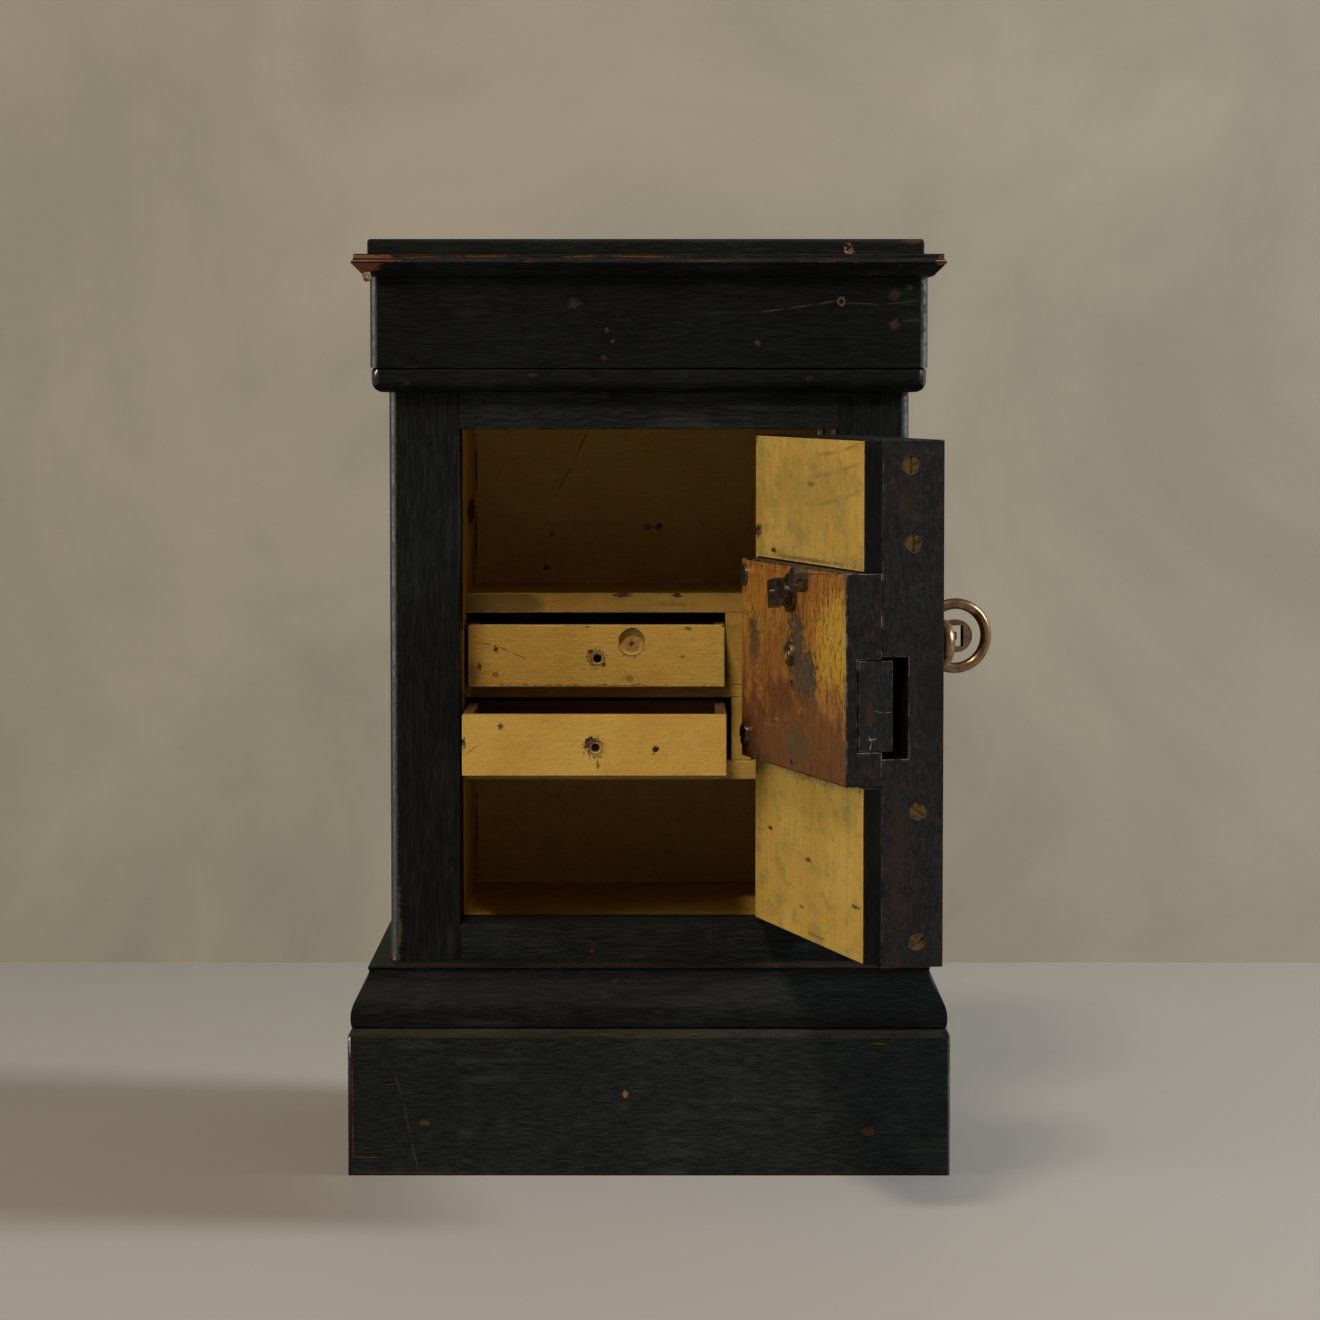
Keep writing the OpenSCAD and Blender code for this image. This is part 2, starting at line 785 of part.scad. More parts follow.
module lock_case() {
    color(lock_paint) on_door() difference() {
        translate([0, 0, lock_z0]) linear_extrude(lock_h) lock_plan(0, core_y);
        translate([0, 0, lock_z0 + lock_wall]) linear_extrude(lock_h - 2 * lock_wall)
            lock_plan(lock_wall, core_y - cut);
        board([forend_x - cut, core_y - cut, bolt_z0 - slide_gap],
            [bolt_x1, bolt_y1 + slide_gap, bolt_z1 + slide_gap]);
        face_hole(lock_mid, key_z, key_tip_d + 2 * run_gap);
        face_hole(lock_mid, through_z, through_d);
        face_hole(hex_x, hex_z, hex_hole_d);
        for (z = case_screw_z) face_hole(case_screw_x, z, pilot_d);
        for (z = small_hole_z) face_hole(lock_mid, z, small_hole_d);
    }
}

// Two slotted screws and a hexagon-headed one, each into the door's core
module lock_screws() {
    color(steel) on_door() {
        for (i = [0:len(case_screw_z) - 1]) difference() {
            union() {
                across(case_screw_x, case_screw_z[i], shank_d, core_y - case_screw_l, lock_y);
                across(case_screw_x, case_screw_z[i], screw_head_d, lock_y, lock_y + screw_head_t);
            }
            translate([case_screw_x, lock_y + screw_head_t, case_screw_z[i]]) rotate([90, 0, 0])
                screw_slot(screw_head_d, 90 - case_screw_turn[i]);
        }
        across(hex_x, hex_z, shank_d, core_y - case_screw_l, lock_y);
        translate([hex_x, lock_y, hex_z]) rotate([-90, hex_turn, 0]) cylinder(h = hex_t, d = hex_d, $fn = 6);
    }
}

// The bolt that clamps the lock through the door, with its dome, collar and square nut
module lock_through_bolt() {
    neck_y = lock_y + collar_t + neck_t;
    color(steel) on_door() {
        translate([lock_mid, outer_y, through_z]) rotate([90, 0, 0]) intersection() {
            translate([0, 0, dome_h - dome_r]) sphere(dome_r);
            cylinder(h = dome_h + cut, r = dome_r);
        }
        across(lock_mid, through_z, through_d - 2 * run_gap, outer_y, neck_y + nut_t + thread_out);
        across(lock_mid, through_z, collar_d, lock_y, lock_y + collar_t);
        across(lock_mid, through_z, neck_d, lock_y, neck_y);
        translate([lock_mid, neck_y + nut_t / 2, through_z]) rotate([0, nut_turn, 0])
            cube([nut_w, nut_t, nut_w], center = true);
    }
}

// Levers, one over another on the post, each with its gate over the bolt's tail
module lock_levers() {
    color(brass) on_door() for (i = [0:lever_count - 1])
        translate([0, tail_y0 + i * (lever_t + lever_gap), 0]) rotate([-90, 0, 0]) mirror([0, 1, 0])
            linear_extrude(lever_t) difference() {
                union() {
                    translate([post_x, lever_z + lever_h / 2]) circle(lever_h / 2 + lever_rim);
                    translate([post_x - lever_l, lever_z]) square([lever_l, lever_h]);
                }
                translate([post_x, lever_z + lever_h / 2]) circle(d = post_d + 2 * run_gap);
                translate([lock_mid - gate_out, lever_z - cut]) square([gate_w, gate_depth + i]);
            }
}

module lever_post() {
    color(steel) on_door() across(post_x, lever_z + lever_h / 2, post_d, core_y, lock_y - lock_wall);
}

// The bolt's head and tail; the key's bit turns in the notch and carries the tail along
module bolt() {
    tail_z1 = key_z - bit_reach + tail_head;
    notch_r = bit_reach + notch_gap;
    color(iron) on_door() difference() {
        union() {
            board([bolt_x0, bolt_y0, bolt_z0], [bolt_x1, bolt_y1, bolt_z1]);
            board([bolt_x1 - cut, tail_y0, bolt_z0 + tail_foot],
                [lock_mid + tail_reach, tail_y0 + tail_t, tail_z1]);
        }
        for (x = [0, bolt_throw]) across(lock_mid + x, key_z, 2 * notch_r, tail_y0 - cut, bolt_y1);
        board([lock_mid, tail_y0 - cut, key_z - notch_r], [lock_mid + bolt_throw, bolt_y1, key_z]);
    }
}

// Key with its bit upright, and a ring bow with an eye inside it
module key() {
    bow_y = outer_y - bow_out;
    face_y = lock_y - lock_wall;
    color(brass) on_door() translate([lock_mid, 0, key_z]) {
        translate([0, bow_y, 0]) rotate([0, 90, 0]) rotate_extrude($fn = fine_fn)
            translate([(bow_d - bow_wire) / 2, 0]) circle(d = bow_wire);
        translate([0, bow_y, 0]) difference() {
            rotate([0, 90, 0]) cylinder(h = eye_t, d = eye_d, center = true);
            cube([eye_t + 2 * cut, eye_hole[0], eye_hole[1]], center = true);
        }
        across(0, 0, bow_neck_d, bow_y + eye_hole[0] / 2 - bow_stub_l, bow_y + bow_d / 2);
        across(0, 0, key_d, bow_y + bow_d / 2 - bow_foot, face_y - tip_gap);
        across(0, 0, shoulder_d, outer_y - shoulder_out - shoulder_t, outer_y - shoulder_out);
        across(0, 0, key_tip_d, face_y - 2 * tip_gap, lock_y - tip_gap);
        translate([-bit_t / 2, core_y + bit_in, 0]) cube([bit_t, bit_w, bit_reach]);
    }
}

// Turned knob on the outer face
module pull_knob() {
    r = knob_d / 2;
    edge_r = knob_head_t / 2;
    color(brass) on_door() translate([-knob_reach, outer_y, key_z]) rotate([90, 0, 0]) {
        rotate_extrude($fn = fine_fn) {
            square([rose_r, rose_t]);
            square([stem_r, knob_out - knob_head_t]);
            translate([0, knob_out - knob_head_t]) square([r - edge_r, knob_head_t]);
            translate([r - edge_r, knob_out - edge_r]) circle(edge_r);
        }
        translate([0, 0, -knob_screw_l]) cylinder(h = knob_screw_l + cut, d = shank_d);
    }
}

// Drawers, drawn closed and then moved out of the nest
module out_of_nest(out) { translate([0, -out, 0]) children(); }

// The lower drawer stands in the door's way, so it goes in as the door shuts
module low_drawer_place() { out_of_nest(low_drawer_out * door_open) children(); }

// A drawer front, with the hole that its knob has left and what else is drilled in it
module drawer_front(z, h, knob_hole_rise) {
    difference() {
        board([drawer_x0, nest_y, z], [drawer_x1, nest_y + drawer_front_t, z + h]);
        drill(knob_hole_x, z + knob_hole_rise, knob_hole_d, drawer_front_t + cut);
        children();
    }
}

module drill(x, z, d, depth) {
    across(x, z, d, nest_y - cut, nest_y + depth);
}

module drawer_sides(z, h) {
    for (x = [drawer_x0, drawer_x1 - drawer_side_t])
        board([x, nest_y + drawer_front_t, z], [x + drawer_side_t, nest_y + drawer_l, z + h]);
}

module drawer_back(z, h) {
    board([drawer_x0 + drawer_side_t, nest_y + drawer_l - drawer_side_t, z],
        [drawer_x1 - drawer_side_t, nest_y + drawer_l, z + h]);
}

module drawer_floor(z) {
    board([drawer_x0 + drawer_side_t, nest_y + drawer_front_t, z],
        [drawer_x1 - drawer_side_t, nest_y + drawer_l - drawer_side_t, z + drawer_floor_t]);
}

module upper_drawer_front() {
    color(ochre) out_of_nest(up_drawer_out) drawer_front(up_drawer_z, up_drawer_h, up_knob_hole_rise)
        drill(recess_x, up_drawer_z + up_drawer_h - recess_drop, recess_d, recess_depth);
}

module upper_drawer_sides() {
    color(deal) out_of_nest(up_drawer_out) drawer_sides(up_drawer_z, up_drawer_h);
}

module upper_drawer_back() {
    color(deal) out_of_nest(up_drawer_out) drawer_back(up_drawer_z, up_drawer_h);
}

module upper_drawer_floor() {
    color(deal) out_of_nest(up_drawer_out) drawer_floor(up_drawer_z);
}

module lower_drawer_front() {
    color(ochre) low_drawer_place() drawer_front(low_drawer_z, low_drawer_h, low_knob_hole_rise)
        drill(nail_hole_x, low_drawer_z + nail_hole_rise, nail_hole_d, nail_hole_depth);
}

module lower_drawer_sides() {
    color(deal) low_drawer_place() drawer_sides(low_drawer_z, low_drawer_h);
}

module lower_drawer_back() {
    color(deal) low_drawer_place() drawer_back(low_drawer_z, low_drawer_h);
}

module lower_drawer_floor() {
    color(deal) low_drawer_place() drawer_floor(low_drawer_z);
}

plinth_front();
plinth_left();
plinth_right();
base_board();
base_moulding_front();
base_moulding_left();
base_moulding_right();
left_stile();
right_stile();
bottom_rail();
top_rail();
left_side();
right_side();
back_panel();
bottom_deck();
top_deck();
floor_lining();
ceiling_lining();
left_lining();
right_lining();
back_lining();
bead_front();
bead_left();
bead_right();
frieze_front();
frieze_left();
frieze_right();
cornice_front();
cornice_left();
cornice_right();
cap_board();
top_shelf();
middle_shelf();
bottom_shelf();
upper_cheek();
lower_cheek();
hinge_sockets();
door_core();
door_panel();
edge_strip();
edge_screws();
hinge_pins();
lock_case();
lock_screws();
lock_through_bolt();
lock_levers();
lever_post();
pull_knob();
bolt();
key();
upper_drawer_front();
upper_drawer_sides();
upper_drawer_back();
upper_drawer_floor();
lower_drawer_front();
lower_drawer_sides();
lower_drawer_back();
lower_drawer_floor();
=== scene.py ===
"""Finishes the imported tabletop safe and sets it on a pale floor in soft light."""

import json
import math

import bmesh
import bpy
from mathutils import Matrix, Vector, noise


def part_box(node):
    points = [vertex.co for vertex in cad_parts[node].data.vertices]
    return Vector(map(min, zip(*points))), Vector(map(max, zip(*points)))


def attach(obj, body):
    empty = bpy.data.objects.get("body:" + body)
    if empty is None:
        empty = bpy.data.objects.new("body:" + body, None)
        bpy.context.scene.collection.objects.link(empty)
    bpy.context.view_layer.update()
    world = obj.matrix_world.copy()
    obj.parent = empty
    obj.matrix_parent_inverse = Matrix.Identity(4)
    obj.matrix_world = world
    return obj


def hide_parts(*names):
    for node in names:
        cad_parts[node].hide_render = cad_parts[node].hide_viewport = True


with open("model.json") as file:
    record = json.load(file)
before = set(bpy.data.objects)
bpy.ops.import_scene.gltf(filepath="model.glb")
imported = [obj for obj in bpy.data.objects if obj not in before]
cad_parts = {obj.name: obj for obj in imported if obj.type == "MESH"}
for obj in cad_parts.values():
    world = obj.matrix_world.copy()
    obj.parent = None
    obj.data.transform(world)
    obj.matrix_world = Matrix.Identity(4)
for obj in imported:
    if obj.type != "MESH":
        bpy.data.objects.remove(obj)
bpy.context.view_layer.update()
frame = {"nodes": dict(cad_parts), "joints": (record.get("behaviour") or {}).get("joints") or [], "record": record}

record = frame["record"]
BODY_OF = {node: body for body, nodes in record["behaviour"]["bodies"].items() for node in nodes}
SLOT_OF = {row["node"]: row["material_slot"] for row in record["subparts"]}
MM = 0.001
QUARTER = math.radians(90)

# Sockets of a Mix node that mixes colours
MIX_FACTOR, MIX_A, MIX_B, MIX_RESULT = 0, 6, 7, 2

# Middle of a noise's range
NOISE_MIDDLE = 0.5

# The door's own frame: origin on the pivot, x towards the hinge edge, y inwards
door_swing = next(j for j in frame["joints"] if j["name"] == "door_swing")
DOOR_TURN = -math.radians(door_swing["range_deg"][0])
PIVOT = Vector((door_swing["pos_m"][0], door_swing["pos_m"][1], 0))
FROM_DOOR = Matrix.Translation(PIVOT) @ Matrix.Rotation(DOOR_TURN, 4, "Z")
TO_DOOR = FROM_DOOR.inverted()


def door_box(node):
    """Lowest and highest corner of a door node, in the door's own frame."""
    points = [TO_DOOR @ v.co for v in frame["nodes"][node].data.vertices]
    low = Vector([min(p[i] for p in points) for i in range(3)])
    high = Vector([max(p[i] for p in points) for i in range(3)])
    return low, high


# Camera
FRAME_PX = 1320
FOCAL_PX = 4411.6
SENSOR_MM = 36
EYE = Vector((8.4, -2647.4, 464.2)) * MM
PITCH = math.radians(3.756)
YAW = 0.00079

camera_data = bpy.data.cameras.new("camera")
camera_data.sensor_width = SENSOR_MM
camera_data.lens = SENSOR_MM * FOCAL_PX / FRAME_PX
camera = bpy.data.objects.new("camera", camera_data)
camera.location = EYE
camera.rotation_euler = (QUARTER - PITCH, 0, YAW)
bpy.context.scene.collection.objects.link(camera)
bpy.context.scene.camera = camera


class Face:
    """A flat face of the object, on which a point is found from its place in the photograph.

    The photograph was taken level, so its rays start from a picture centre above its middle."""

    EYE = Vector((6.93, -2627.9, 471.8)) * MM
    CENTRE = (661, 357.1)
    FOCAL = 4359.2

    def __init__(self, origin, turn=0.0):
        self.origin = Vector(origin)
        self.turn = turn
        self.normal = Matrix.Rotation(turn, 3, "Z") @ Vector((0, 1, 0))

    def at(self, px, py):
        ray = Vector((px - self.CENTRE[0], self.FOCAL, self.CENTRE[1] - py))
        return self.EYE + ray * ((self.origin - self.EYE).dot(self.normal) / ray.dot(self.normal))


def front_of(node):
    return Face(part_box(node)[0])


def inside_of(node):
    """The face of a door node that looks into the case when the door is shut."""
    return Face(FROM_DOOR @ Vector((0, door_box(node)[1].y, 0)), DOOR_TURN)


def free_edge_of(node):
    return Face(FROM_DOOR @ Vector((door_box(node)[0].x, 0, 0)), DOOR_TURN - QUARTER)


FRIEZE = front_of("frieze_front")
PLINTH = front_of("plinth_front")
CORNICE = front_of("cornice_front")
CAP = front_of("cap_board")
BEAD = front_of("bead_front")
STILE = front_of("left_stile")
# How far the marked part of the base moulding stands before the stiles, in millimetres
MOULDING_OUT = 7
MOULDING = Face(STILE.origin - Vector((0, MOULDING_OUT, 0)) * MM)
BACK = front_of("back_lining")
SHELF = front_of("top_shelf")
UPPER = front_of("upper_drawer_front")
LOWER = front_of("lower_drawer_front")
LEFT = Face(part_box("left_lining")[1], QUARTER)
PANEL = inside_of("door_panel")
LOCK = inside_of("lock_case")
STRIP = free_edge_of("edge_strip")
BOLT = free_edge_of("bolt")


# The sRGB curve: a straight foot, then a shifted power
FOOT_END, FOOT_SLOPE, CURVE_SHIFT, CURVE_POWER = 0.04045, 12.92, 0.055, 2.4


def colour(text):
    """A hexadecimal display colour as linear RGBA."""
    values = [int(text[i : i + 2], 16) / 255 for i in (1, 3, 5)]
    return [v / FOOT_SLOPE if v < FOOT_END else ((v + CURVE_SHIFT) / (1 + CURVE_SHIFT)) ** CURVE_POWER
        for v in values] + [1]


class Finish:
    """A material's node tree, built with short calls. All lengths are in metres."""

    # How far a mark's outline strays for each unit of ragged
    STRAY = 4
    # Half the length of a piece of a scratch, with a little more to join the next
    HALF_JOINED = 0.56

    def __init__(self, name, **fixed):
        self.material = bpy.data.materials.new(name)
        self.material.use_nodes = True
        self.tree = self.material.node_tree
        self.shader = self.tree.nodes["Principled BSDF"]
        for socket, value in fixed.items():
            self.shader.inputs[socket.replace("_", " ")].default_value = value
        self.coords = self.add("TexCoord").outputs["Object"]
        self.shakes = {}

    def add(self, kind, sockets=None, **props):
        made = self.tree.nodes.new("ShaderNode" + kind)
        for key, value in props.items():
            setattr(made, key, value)
        for key, value in (sockets or {}).items():
            if isinstance(value, bpy.types.NodeSocket):
                self.tree.links.new(value, made.inputs[key])
            else:
                made.inputs[key].default_value = value
        return made

    def place(self, scale=(1, 1, 1), turn=(0, 0, 0), at=(0, 0, 0), kind="POINT"):
        """Scaled coordinates; kind TEXTURE gives the coordinates inside a box."""
        sockets = {"Vector": self.coords, "Location": at, "Rotation": turn, "Scale": scale}
        return self.add("Mapping", sockets, vector_type=kind).outputs[0]

    def noise(self, coords, scale, detail=3.0, rough=0.6):
        sockets = {"Vector": coords, "Scale": scale, "Detail": detail, "Roughness": rough}
        return self.add("TexNoise", sockets).outputs["Fac"]

    def maths(self, operation, a, b=0.0):
        return self.add("Math", {0: a, 1: b}, operation=operation).outputs[0]

    def times(self, value, amount):
        return self.maths("MULTIPLY", value, amount)

    def plus(self, value, amount):
        return self.maths("ADD", value, amount)

    def fade(self, value, low, high):
        """0 below low and 1 above high, or the other way round where low is the greater."""
        sockets = {"Value": value, "From Min": low, "From Max": high}
        return self.add("MapRange", sockets, interpolation_type="SMOOTHSTEP").outputs["Result"]

    def mix(self, amount, below, above):
        made = self.add("Mix", data_type="RGBA")
        for index, value in ((MIX_FACTOR, amount), (MIX_A, below), (MIX_B, above)):
            if isinstance(value, bpy.types.NodeSocket):
                self.tree.links.new(value, made.inputs[index])
            else:
                made.inputs[index].default_value = value
        return made.outputs[MIX_RESULT]

    def shake(self, grain):
        """Noise about zero that makes the outline of a mark ragged."""
        if grain not in self.shakes:
            ragged = self.noise(self.coords, grain, detail=4, rough=0.65)
            self.shakes[grain] = self.maths("SUBTRACT", ragged, NOISE_MIDDLE)
        return self.shakes[grain]

    def mark(self, below, above, at, size, turn, soft, ragged, grain, amount):
        """A ragged spot of another colour round a point; size is its half-width along each axis."""
        inside = self.place(size, turn, at, "TEXTURE")
        reach = self.add("VectorMath", {0: inside}, operation="LENGTH").outputs["Value"]
        stray = self.times(self.shake(grain), ragged * self.STRAY)
        ragged_reach = self.plus(reach, stray)
        cover = self.times(self.fade(ragged_reach, 1, 1 - soft), amount)
        return self.mix(cover, below, above)

    def patch(self, below, above, face, box,
            deep=3, soft=0.35, ragged=0.5, grain=400.0, amount=1.0):
        """A mark that fills a box of the photograph, on a face and as many millimetres into it."""
        a, b = face.at(*box[:2]), face.at(*box[2:])
        size = (math.hypot(b.x - a.x, b.y - a.y) / 2, deep * MM, abs(b.z - a.z) / 2)
        turn = (0, 0, face.turn)
        return self.mark(below, above, (a + b) / 2, size, turn, soft, ragged, grain, amount)

    def scratch(self, below, above, face, points, width,
            deep=1, soft=0.6, ragged=0.25, grain=900.0, amount=1.0):
        """Thin marks from point to point of the photograph, on a face; width is in millimetres."""
        for start, end in zip(points, points[1:]):
            a, b = face.at(*start), face.at(*end)
            along = (b - a).normalized()
            out = face.normal
            turn = Matrix((along, out, along.cross(out))).transposed().to_euler()
            size = ((b - a).length * self.HALF_JOINED, deep * MM, width * MM / 2)
            middle = (a + b) / 2
            below = self.mark(below, above, middle, size, tuple(turn), soft, ragged, grain, amount)
        return below

    def marks(self, base, face, rows):
        """Each row is a colour, a box or a list of points in the photograph, and what its look needs."""
        for paint, place, *rest in rows:
            look = rest[-1] if rest and isinstance(rest[-1], dict) else {}
            if isinstance(place, list):
                base = self.scratch(base, colour(paint), face, place, rest[0], **look)
            else:
                base = self.patch(base, colour(paint), face, place, **look)
        return base

    def finish(self, base, rough, height=None, depth=0.0):
        self.tree.links.new(base, self.shader.inputs["Base Color"])
        if isinstance(rough, bpy.types.NodeSocket):
            self.tree.links.new(rough, self.shader.inputs["Roughness"])
        else:
            self.shader.inputs["Roughness"].default_value = rough
        if height is not None:
            bump = self.add("Bump", {"Height": height, "Distance": depth, "Strength": 1.0})
            self.tree.links.new(bump.outputs[0], self.shader.inputs["Normal"])
        return self.material


# Finishes. GRAIN_SCALE draws a noise out along the grain.
GRAIN_SCALE = 0.06
STRETCH = {
    "X": (GRAIN_SCALE, 1, 1),
    "Y": (1, GRAIN_SCALE, 1),
    "Z": (1, 1, GRAIN_SCALE),
    "none": (1, 1, 1),
}
# How far a finish's roughness varies with its noise
ROUGH_SPREAD = 0.3
BLACK = colour("#0c0e0e")
CHARCOAL = colour("#1e2120")
BLOOM = colour("#2e3230")
WORN_BROWN = colour("#3d2413")
# How much of the bloom shows, and how high the pores stand beside the figure
BLOOM_SHARE = 0.65
PORE_RISE = 0.35


def ebonised(name, grain, worn=0.0, face=None, rows=(), sheen=0.06, polish=0.42, shade=1.0, ripple=0.0):
    """Black-stained wood with a thin old varnish, rubbed brown where it is worn."""
    f = Finish(name, Specular_IOR_Level=sheen)
    black, charcoal, bloom = ([v * shade for v in tint] for tint in (BLACK, CHARCOAL, BLOOM))
    along = f.place(scale=STRETCH[grain])
    pores = f.noise(along, scale=1500, detail=4, rough=0.7)
    figure = f.noise(along, scale=220, detail=5, rough=0.65)
    clouds = f.noise(f.coords, scale=16, detail=5, rough=0.65)
    rubs = f.noise(f.coords, scale=110, detail=6, rough=0.72)
    base = f.mix(f.fade(pores, low=0.4, high=0.7), black, charcoal)
    hazy = f.times(f.fade(clouds, low=0.46, high=0.72), f.fade(figure, low=0.42, high=0.72))
    base = f.mix(f.times(hazy, BLOOM_SHARE), base, bloom)
    rub_low = 0.76 - 0.28 * worn
    rub_high = 0.84 - 0.2 * worn
    base = f.mix(f.fade(rubs, rub_low, rub_high), base, WORN_BROWN)
    base = f.marks(base, face, rows)
    rough = f.plus(f.times(clouds, ROUGH_SPREAD), polish)
    if ripple:
        rough = f.plus(rough, f.times(f.maths("SUBTRACT", rubs, NOISE_MIDDLE), ripple))
    height = f.plus(f.times(pores, PORE_RISE), figure)
    return f.finish(base, rough, height, depth=0.00012)


OCHRE = colour("#c49a3c")
OCHRE_PALE = colour("#cba64a")
OCHRE_GREY = colour("#8f8042")
OCHRE_DEEP = colour("#b0842c")
SPECK = colour("#33200d")
# How much of the smears and streaks shows at full wear, and how high brush marks stand
SMEAR_SHARE = 0.75
STREAK_SHARE = 0.35
BRUSH_RISE = 0.6


def ochre_paint(name, grain, wear=0.5, face=None, rows=()):
    """Brushed ochre paint on wood, with grey streaks, specks and rubbed places."""
    f = Finish(name)
    along = f.place(scale=STRETCH[grain])
    brush = f.noise(along, scale=900, detail=5, rough=0.7)
    streaks = f.noise(along, scale=160, detail=5, rough=0.65)
    clouds = f.noise(f.coords, scale=26, detail=4, rough=0.6)
    crust = f.noise(f.coords, scale=300, detail=5, rough=0.7)
    specks = f.noise(f.coords, scale=520, detail=5, rough=0.78)
    smears = f.noise(f.place(scale=(1, 0.4, 1)), scale=90, detail=6, rough=0.75)
    brush_share = 0.35 + 0.35 * wear
    crust_share = 0.3 + 0.3 * wear
    speck_low = 0.74 - 0.07 * wear
    speck_high = 0.79 - 0.07 * wear
    base = f.mix(f.fade(clouds, low=0.35, high=0.65), OCHRE, OCHRE_PALE)
    base = f.mix(f.times(f.fade(smears, low=0.46, high=0.66), SMEAR_SHARE * wear), base, OCHRE_GREY)
    base = f.mix(f.times(f.fade(streaks, low=0.44, high=0.68), STREAK_SHARE * wear), base, OCHRE_GREY)
    base = f.mix(f.times(f.fade(brush, low=0.5, high=0.72), brush_share), base, OCHRE_DEEP)
    base = f.mix(f.times(f.fade(crust, low=0.56, high=0.7), crust_share), base, OCHRE_GREY)
    base = f.mix(f.fade(specks, speck_low, speck_high), base, SPECK)
    base = f.marks(base, face, rows)
    height = f.plus(f.times(brush, BRUSH_RISE), crust)
    return f.finish(base, rough=0.5, height=height, depth=0.0005)


def bare_wood(name, grain, light, dark):
    """Old bare softwood, gone brown."""
    f = Finish(name)
    along = f.place(scale=STRETCH[grain])
    figure = f.noise(along, scale=260, detail=5, rough=0.65)
    base = f.mix(f.fade(figure, low=0.35, high=0.7), colour(light), colour(dark))
    return f.finish(base, rough=0.7, height=figure, depth=0.0002)


IRON = colour("#0f1011")
IRON_GREY = colour("#232425")
RUST = colour("#40241a")
STEEL_GREY = colour("#77746d")
# Least roughness, and how far it varies
IRON_ROUGH = 0.22
IRON_SPREAD = 0.4


def blackened_iron(name, rust=0.45, face=None, rows=(), bright=0.0):
    """Iron black with old oil and some rust, with steel grey mixed in where asked: on the arrises it stands for
    worn bare steel and also paints a highlight.
    """
    f = Finish(name, Metallic=0.1, Specular_IOR_Level=0.2)
    mottle = f.noise(f.coords, scale=130, detail=6, rough=0.68)
    fine = f.noise(f.place(scale=(1, 1, 0.35)), scale=560, detail=5, rough=0.72)
    base = f.mix(f.fade(fine, low=0.4, high=0.72), IRON, IRON_GREY)
    base = f.mix(f.times(f.fade(mottle, low=0.5, high=0.7), rust), base, RUST)
    # steel grey in patches: worn bare steel, and a painted highlight along the arrises
    base = f.mix(f.times(f.fade(mottle, low=0.46, high=0.6), bright), base, STEEL_GREY)
    base = f.marks(base, face, rows)
    rough = f.plus(f.times(mottle, IRON_SPREAD), IRON_ROUGH)
    return f.finish(base, rough, fine, depth=0.00012)


def aged_metal(name, light, dark, rough, scale=260.0, depth=0.00006):
    """Bare metal with a cloudy tarnish."""
    f = Finish(name, Metallic=1.0)
    tarnish = f.noise(f.coords, scale=scale, detail=5, rough=0.7)
    base = f.mix(f.fade(tarnish, low=0.4, high=0.68), colour(light), colour(dark))
    sheen = f.plus(f.times(tarnish, ROUGH_SPREAD), rough)
    return f.finish(base, sheen, tarnish, depth)


COLLAR_T = 2.55 * MM
COLLAR_ROUGH = 0.2


def through_bolt(name):
    """Brass collar on the lock's face, steel neck and nut beyond it."""
    f = Finish(name, Metallic=1.0)
    from_lock = f.place(turn=(0, 0, DOOR_TURN), at=LOCK.origin, kind="TEXTURE")
    inward = f.add("SeparateXYZ", {0: from_lock}).outputs["Y"]
    tarnish = f.noise(f.coords, scale=420, detail=5, rough=0.7)
    brass = f.mix(f.fade(tarnish, low=0.42, high=0.62), colour("#7a6338"), colour("#463722"))
    steel = f.mix(f.fade(tarnish, low=0.42, high=0.62), colour("#6f6a62"), colour("#3f3b37"))
    base = f.mix(f.maths("GREATER_THAN", inward, COLLAR_T), brass, steel)
    sheen = f.plus(f.times(tarnish, ROUGH_SPREAD), COLLAR_ROUGH)
    return f.finish(base, sheen, tarnish, depth=0.00006)


# How marks look: how ragged and soft their outline is, the scale of its noise, how deep they go
# in millimetres, and how much of their colour shows
FAINT = {"amount": 0.5, "soft": 0.8, "ragged": 0.6}
STAIN = {"soft": 0.8, "ragged": 0.6, "amount": 0.8, "grain": 110.0}
CHIPPED = {"ragged": 0.75, "soft": 0.25, "grain": 600.0}
HOLE_RIM = {"ragged": 0.5, "soft": 0.3, "grain": 700.0}
WORN_LINE = {"ragged": 0.6, "amount": 0.85, "deep": 8}
# also a painted highlight: the look of the grey lines along the stile's arris
RUBBED_AND_HIGHLIGHT = {"ragged": 0.9, "grain": 260.0, "deep": 5}
FOOT_GRIME = {"ragged": 0.9, "soft": 0.8, "grain": 300.0}
CLOUD = {"soft": 0.75, "ragged": 0.55, "grain": 70.0}
SMOULDER = {"soft": 0.5, "ragged": 0.5, "grain": 75.0}
WORN_THROUGH = {"soft": 0.4, "ragged": 0.7, "grain": 220.0}

